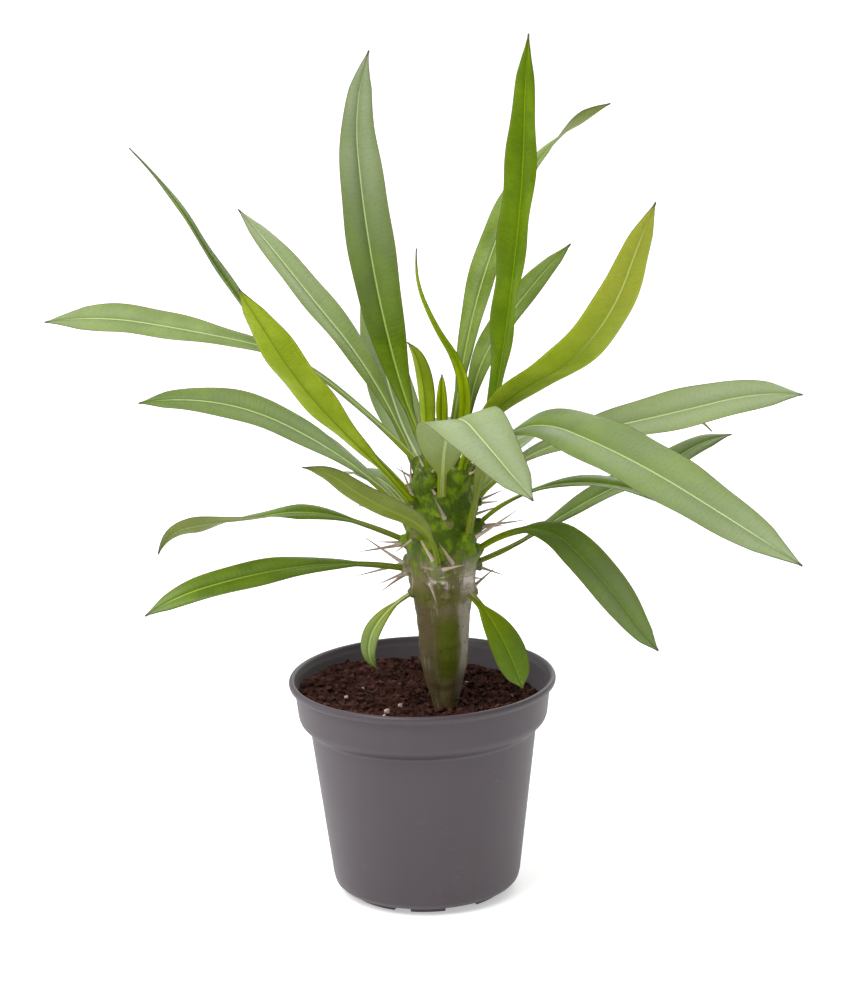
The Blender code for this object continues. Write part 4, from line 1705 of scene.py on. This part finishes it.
    def grain_places(self, draw: random.Random) -> list[tuple[Matrix, float]]:
        """Places of the perlite grains.

        Args:
            draw: the seeded source of chance.

        Returns:
            The place of each, and 1 as its chance.
        """
        made = []
        for x, y, size in self.grains:
            spot = Vector((x, y, self.crumbled(x, y) + size * self.grain_lift))
            shape = (size * draw.uniform(*self.grain_long), size, size * draw.uniform(*self.grain_thick))
            made.append((self.laid(spot, shape, turn=draw.uniform(*self.grain_turns)), 1.0))
        return made

    def build(self) -> Object:
        """Make the body, strew it and dress it.

        Returns:
            The peat.
        """
        draw = random.Random(self.seed)
        body = self.body()
        Bench.write(body, "crumb", [Vector((0, 0, 0))] * len(body.data.vertices))
        crumb_places = self.crumb_places(draw) + self.stem_places(draw)
        crumb = self.lump("crumb", roughness=1.0, seed=2.0, detail=1)
        crumbs = self.scatter("crumbs", crumb_places, crumb, 1)
        fibre = self.lump("fibre", roughness=0.3, seed=4.0, detail=1)
        fibres = self.scatter("fibres", self.fibre_places(draw), fibre, 1)
        grain = self.lump("grain", roughness=0.5, seed=6.0, detail=2)
        grains = self.scatter("grains", self.grain_places(draw), grain, 0)
        materials = (PeatCrumb().material(), PerliteGrain().material())
        for made, index in ((body, 0), (crumbs, 0), (fibres, 0), (grains, 1)):
            Bench.dress(made, materials, index)
        made = Bench.joined("soil_crumbled", [body, crumbs, fibres, grains])
        return Bench.finish(made, Slot.PEAT, ["soil"], materials, self.sharp)


@dataclass
class Spine:
    """One spine: its foot inside the boss, its direction, its length and its shade."""

    foot: Vector
    aim: Vector
    length: float
    shade: float


@dataclass
class Trunk:
    """The swollen stem with its bosses, felt pads and spines, grown as one piece."""

    crown: Crown
    blade: BladeShape = field(default_factory=BladeShape)
    profile: Table = (
        (0.0, 211.5), (6.0, 208.0), (9.8, 201.0), (13.1, 192.0), (15.0, 181.0), (15.7, 168.0), (15.4, 154.0),
        (14.5, 144.0), (13.0, 138.0), (11.9, 131.0), (11.2, 119.0), (10.1, 107.0), (7.5, 96.5), (5.5, 89.0),
        (5.0, 84.0), (5.0, 61.6), (3.6, 60.0), (0.0, 60.0))
    steps: int = 72
    rounding: float = 4.0
    voxel: float = 0.5
    boss_depth: float = 9.0
    boss_root: float = 5.4
    boss_end: float = 1.9
    boss_sides: int = 16
    pad: float = 1.6
    lengths: Table = ((141, 13.0), (158, 25.0), (178, 22.0), (192, 10.0), (212, 5.0))
    shares: tuple[float, ...] = (1.0, 0.92, 0.5)
    play: Span = (0.85, 1.1)
    kept: float = 0.6
    shortened: tuple[float, ...] = (1.0, 0.8, 0.6, 0.45)
    spread: Span = (36.0, 50.0)
    lean: Span = (20.0, 60.0)
    root_depth: float = 3.0
    offset: float = 1.9
    free: float = 3.8
    leaf_clear: float = 1.9
    spine_clear: float = 1.0
    tests: int = 12
    spine_form: Table = ((0.0, 1.3), (0.15, 1.1), (0.35, 0.8), (0.6, 0.52), (0.85, 0.24), (1.0, 0.07))
    spine_sides: int = 8
    spine_bend: float = 0.05
    bend_play: Span = (0.2, 1.0)
    spine_stout: float = 0.54
    spine_swell: float = 0.014
    near: float = 60.0
    near_height: float = 170.0
    near_step: float = 3.0
    pad_out: float = 1.2
    smoothing: int = 5
    smooth_share: float = 0.6
    level_size: Triple = (9.0, 9.0, 2.6)
    level_lift: float = 0.12
    level_zone: Span = (92.0, 112.0)
    broad_size: float = 5.0
    broad_shift: Triple = (9.0, 0.0, 0.0)
    broad_lift: float = 0.4
    broad_zone: Span = (88.0, 100.0)
    felt_out: float = 2.2
    felt_zone: Span = (4.0, 1.4)
    scar_zone: Span = (2.4, 1.6)
    sharp: float = 60.0
    seed: int = 94

    def leaf_points(self) -> KDTree:
        """Points of the leaves near the crown, which the spines keep clear of.

        Returns:
            A tree of the points.
        """
        middle = Vector((self.crown.x, self.crown.y, self.near_height))
        points = []
        for leaf in LEAVES:
            for station in self.crown.midrib(leaf, round(leaf.length / self.near_step)):
                for across in (-1, -0.5, 0, 0.5, 1):
                    point = self.blade.middle(leaf, station, across)
                    if (point - middle).length < self.near:
                        points.append(point)
        return tree_of(points)

    def is_clear(self, foot: Vector, end: Vector, leaves: KDTree, placed: Sequence[Vector]) -> bool:
        """Whether a spine touches no leaf and, past its foot, crosses no other spine.

        Args:
            foot: where the test starts.
            end: the spine's tip.
            leaves: points of the leaves.
            placed: points of the other spines.

        Returns:
            True when it is clear.
        """
        for test in range(1, self.tests + 1):
            spot = foot.lerp(end, test / self.tests)
            if leaves.find(spot)[2] < self.leaf_clear:
                return False
            past_foot = test > self.tests / 4
            if past_foot and any((spot - other).length_squared < self.spine_clear ** 2 for other in placed):
                return False
        return True

    def round_boss(self, seat: Vector, along: Vector, turn: float, draw: random.Random) -> list[Spine]:
        """The spines that a boss would have if nothing were in their way: three, less those it has lost.

        Args:
            seat: the boss's end.
            along: the way that it points.
            turn: its turn about +Z.
            draw: the seeded source of chance.

        Returns:
            The spines, with their lengths past the boss's end and no shade yet.
        """
        side = right_of(turn)
        upper = side.cross(along).normalized()
        lean = math.radians(draw.uniform(*self.lean))
        across = side * math.cos(lean) + upper * math.sin(lean)
        below = side * math.sin(lean) - upper * math.cos(lean)
        made = []
        for push, share in zip((across, -across, below), self.shares):
            spread = math.radians(draw.uniform(*self.spread))
            aim = along * math.cos(spread) + push * math.sin(spread)
            foot = seat - along * self.root_depth + push * self.offset
            length = on_table(self.lengths, seat.z) * share * draw.uniform(*self.play)
            if draw.random() < self.kept:
                made.append(Spine(foot, aim, length, 0.0))
        return made

    def spines(self) -> list[Spine]:
        """All spines, each shortened until it is clear or left out.

        Returns:
            The spines, with their lengths from the foot and their shades.
        """
        draw = random.Random(self.seed)
        shade = random.Random(self.seed + 1)
        leaves = self.leaf_points()
        placed: list[Vector] = []
        made = []
        for turn, height, rise in self.crown.seats():
            seat = self.crown.seat(turn, height)
            for spine in self.round_boss(seat, heading(turn, rise), turn, draw):
                start = spine.foot + spine.aim * self.free
                for share in self.shortened:
                    length = spine.length * share + self.root_depth
                    end = spine.foot + spine.aim * length
                    if self.is_clear(start, end, leaves, placed):
                        made.append(Spine(spine.foot, spine.aim, length, shade.random()))
                        placed.extend(spine.foot.lerp(end, k / self.tests) for k in range(self.tests + 1))
                        break
        return made

    def spine_pattern(self) -> Object:
        """A spine of unit length along +Z with a swollen foot.

        Returns:
            The pattern.
        """
        made = Bench.primitive(
            "spine", bpy.ops.mesh.primitive_circle_add, vertices=self.spine_sides,
            radius=self.spine_form[0][1], fill_type="TRIFAN")
        bpy.ops.object.mode_set(mode="EDIT")
        bpy.ops.mesh.select_all(action="SELECT")
        for (z0, r0), (z1, r1) in zip(self.spine_form, self.spine_form[1:]):
            bpy.ops.mesh.extrude_region_move(TRANSFORM_OT_translate={"value": (0, 0, z1 - z0)})
            bpy.ops.transform.resize(value=(r1 / r0, r1 / r0, 1), center_override=(0, 0, z1))
        bpy.ops.mesh.select_all(action="SELECT")
        bpy.ops.mesh.normals_make_consistent(inside=False)
        bpy.ops.object.mode_set(mode="OBJECT")
        return made

    def add_spines(self, spines: Sequence[Spine]) -> Object:
        """Set a copy of the pattern at each spine, a little bent, with its shade and share stored.

        Args:
            spines: the spines.

        Returns:
            The spines as one object.
        """
        places = [Matrix.Identity(4)] * len(spines)
        made = Bench.copies(self.spine_pattern(), places)
        draw = random.Random(self.seed + 2)
        for copy, spine in zip(made, spines):
            turn = spine.aim.to_track_quat("Z", "Y")
            stout = self.spine_stout + self.spine_swell * spine.length
            bend = heading(draw.uniform(0, 360), 0) * self.spine_bend * draw.uniform(*self.bend_play)
            stored = []
            for vertex in copy.data.vertices:
                share = clamp(vertex.co.z)
                bow = bend * (share * share * spine.length)
                local = Vector((vertex.co.x * stout, vertex.co.y * stout, share * spine.length)) + bow
                vertex.co = (spine.foot + turn @ local) * MM
                stored.append(Vector((0, spine.shade, share)))
            Bench.write(copy, "growth", stored)
        return Bench.joined("spines", made)

    def core(self, spines: Sequence[Spine]) -> Object:
        """The stem with its bosses and felt pads, fused into one skin.

        Args:
            spines: the spines, for their felt pads.

        Returns:
            The fused core.
        """
        body = Bench.turned("trunk_body", softened(self.profile, self.rounding), self.steps)
        body.location = (self.crown.x * MM, self.crown.y * MM, 0)
        pattern = Bench.primitive(
            "boss", bpy.ops.mesh.primitive_cone_add, vertices=self.boss_sides,
            radius1=self.boss_root * MM, radius2=self.boss_end * MM, depth=self.boss_depth * MM)
        places = []
        for turn, height, rise in self.crown.seats():
            along = heading(turn, rise)
            middle = self.crown.seat(turn, height) - along * self.boss_depth / 2
            aim = along.to_track_quat("Z", "Y").to_matrix().to_4x4()
            places.append(Matrix.Translation(middle * MM) @ aim)
        bosses = Bench.copies(pattern, places)
        pattern = Bench.primitive(
            "pad", bpy.ops.mesh.primitive_uv_sphere_add, segments=12, ring_count=8, radius=self.pad * MM)
        places = [Matrix.Translation((spine.foot + spine.aim * self.pad_out) * MM) for spine in spines]
        pads = Bench.copies(pattern, places)
        made = Bench.joined("trunk_grown", [body, *bosses, *pads])
        Bench.settle(made)
        Bench.apply(made, "REMESH", mode="VOXEL", voxel_size=self.voxel * MM, use_smooth_shade=True)
        Bench.apply(made, "SMOOTH", factor=self.smooth_share, iterations=self.smoothing)
        return made

    def wrinkle(self, made: Object) -> None:
        """Raise low wrinkles on the skin, level ones and broad ones.

        Args:
            made: the fused core.
        """
        lifts = []
        for vertex in made.data.vertices:
            point = vertex.co / MM
            level = noise.noise(Vector([part / size for part, size in zip(point, self.level_size)]))
            broad = noise.noise(point / self.broad_size + Vector(self.broad_shift))
            level *= self.level_lift * faded(self.level_zone, point.z)
            lifts.append(vertex.normal * (level + broad * self.broad_lift * faded(self.broad_zone, point.z)))
        for vertex, lift in zip(made.data.vertices, lifts):
            vertex.co += lift * MM

    def store_growth(self, made: Object, spines: Sequence[Spine]) -> None:
        """Store how near each point is to a spine's foot and to a bare boss's end.

        Args:
            made: the fused core.
            spines: the spines.
        """
        feet = tree_of([spine.foot + spine.aim * self.felt_out for spine in spines])
        bare = self.crown.seats()[len(LEAVES):]
        scars = tree_of([self.crown.seat(turn, height) for turn, height, _ in bare])
        values = []
        for vertex in made.data.vertices:
            point = vertex.co / MM
            felt = faded(self.felt_zone, feet.find(point)[2])
            scar = faded(self.scar_zone, scars.find(point)[2])
            values.append(Vector((felt, scar, 0)))
        Bench.write(made, "growth", values)

    def build(self) -> Object:
        """Fuse the core, wrinkle it, add the spines and dress it.

        Returns:
            The trunk.
        """
        spines = self.spines()
        core = self.core(spines)
        self.wrinkle(core)
        self.store_growth(core, spines)
        horns = self.add_spines(spines)
        skin = TrunkSkin(axis=(self.crown.x, self.crown.y))
        materials = (skin.material(), SpineHorn().material())
        for made, index in ((core, 0), (horns, 1)):
            Bench.dress(made, materials, index)
        log.info("spines: %d", len(spines))
        return Bench.finish(
            Bench.joined("trunk_grown", [core, horns]), Slot.TRUNK, ["trunk"], materials, self.sharp)


@dataclass(frozen=True)
class SoftBox:
    """A soft light: a lit panel that faces the plant, with its place and size in metres."""

    name: str
    place: Triple
    size: float
    watts: float
    colour: Colour = (1.0, 1.0, 1.0)


@dataclass
class Studio:
    """The pale floor, the soft light and the camera at the photograph's place.

    floor_size, target and far are in metres, and lens and sensor are millimetres on the camera.
    """

    floor_size: float = 60.0
    sky_front: float = 0.14
    sky_top: float = 0.7
    sky_back: float = 0.75
    top_zone: Span = (0.1, 0.95)
    back_zone: Span = (-0.1, 0.9)
    aim: Triple = (5.853, 0.0, 181.4)
    elevation: float = 15.6
    distance: float = 1800.0
    roll: float = -1.4
    lens: float = 146.25
    sensor: float = 36.0
    far: float = 100.0
    target: Triple = (0.0, 0.0, 0.2)
    boxes: Sequence[SoftBox] = (
        SoftBox("light_key", (-0.75, -0.85, 1.55), 0.9, 24.0),
        SoftBox("light_back", (0.6, 1.5, 1.2), 1.2, 10.0),
        SoftBox("light_left", (-1.6, 0.25, 0.7), 0.9, 6.0),
    )

    def add_floor(self) -> None:
        """A wide floor that fills the view."""
        made = Bench.primitive(
            "floor", bpy.ops.mesh.primitive_plane_add, size=self.floor_size, location=(0, 0, 0))
        made.data.materials.append(StudioFloor().material())
        made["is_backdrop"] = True

    def add_sky(self) -> None:
        """White light from all round, strongest from above and behind."""
        world = bpy.data.worlds.new("studio_sky")
        board = Board(world)
        _, back, top = board.parts(board.add("ShaderNodeTexCoord", {}, {}, "Generated"))
        above = top.ramp(*self.top_zone) * self.sky_top
        light = self.sky_front + above + back.ramp(*self.back_zone) * self.sky_back
        ground = board.tree.nodes["Background"]
        board.plug(ground.inputs["Color"], (1.0, 1.0, 1.0))
        board.plug(ground.inputs["Strength"], light)
        bpy.context.scene.world = world

    def add_boxes(self) -> None:
        """The soft lights, each turned to the plant."""
        for box in self.boxes:
            place = Vector(box.place)
            bpy.ops.object.light_add(type="AREA", location=place)
            lamp = bpy.context.active_object
            lamp.name = box.name
            lamp.rotation_mode = "QUATERNION"
            lamp.rotation_quaternion = (Vector(self.target) - place).to_track_quat("-Z", "Y")
            lamp.data.shape = "SQUARE"
            lamp.data.size = box.size
            lamp.data.energy = box.watts
            lamp.data.color = box.colour

    def add_camera(self) -> None:
        """The camera where the photograph was taken, with its slight roll."""
        tilt = math.radians(self.elevation)
        roll = math.radians(self.roll)
        back = Vector((0, -math.cos(tilt), math.sin(tilt)))
        level = Vector((1, 0, 0))
        rise = back.cross(level)
        right = level * math.cos(roll) + rise * math.sin(roll)
        upper = rise * math.cos(roll) - level * math.sin(roll)
        place = Matrix((right, upper, back)).transposed().to_4x4()
        place.translation = (Vector(self.aim) + back * self.distance) * MM
        bpy.ops.object.camera_add()
        camera = bpy.context.active_object
        camera.name = "camera"
        camera.matrix_world = place
        camera.data.sensor_fit = "AUTO"
        camera.data.sensor_width = self.sensor
        camera.data.lens = self.lens
        camera.data.clip_end = self.far
        bpy.context.scene.camera = camera

    def build(self) -> None:
        """Set up the studio."""
        self.add_floor()
        self.add_sky()
        self.add_boxes()
        self.add_camera()
        bpy.context.scene.view_settings.view_transform = "Standard"
        log.info("studio ready")


def write_sizes() -> None:
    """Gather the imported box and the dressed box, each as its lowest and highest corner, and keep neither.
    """
    boxes = {"cad": CAD_BOX, "visual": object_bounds()}
    {name: [list(corner) for corner in box] for name, box in boxes.items()}


def main() -> None:
    """Build the dressed plant in its studio."""
    logging.basicConfig(level=logging.INFO, format="%(message)s")
    crown = Crown()
    Studio().build()
    steps: Sequence[Callable[[], Any]] = (
        Pot().build, Peat(crown).build, Trunk(crown).build, Foliage(crown).build)
    for step in steps:
        step()
    write_sizes()


if __name__ == "__main__":
    main()
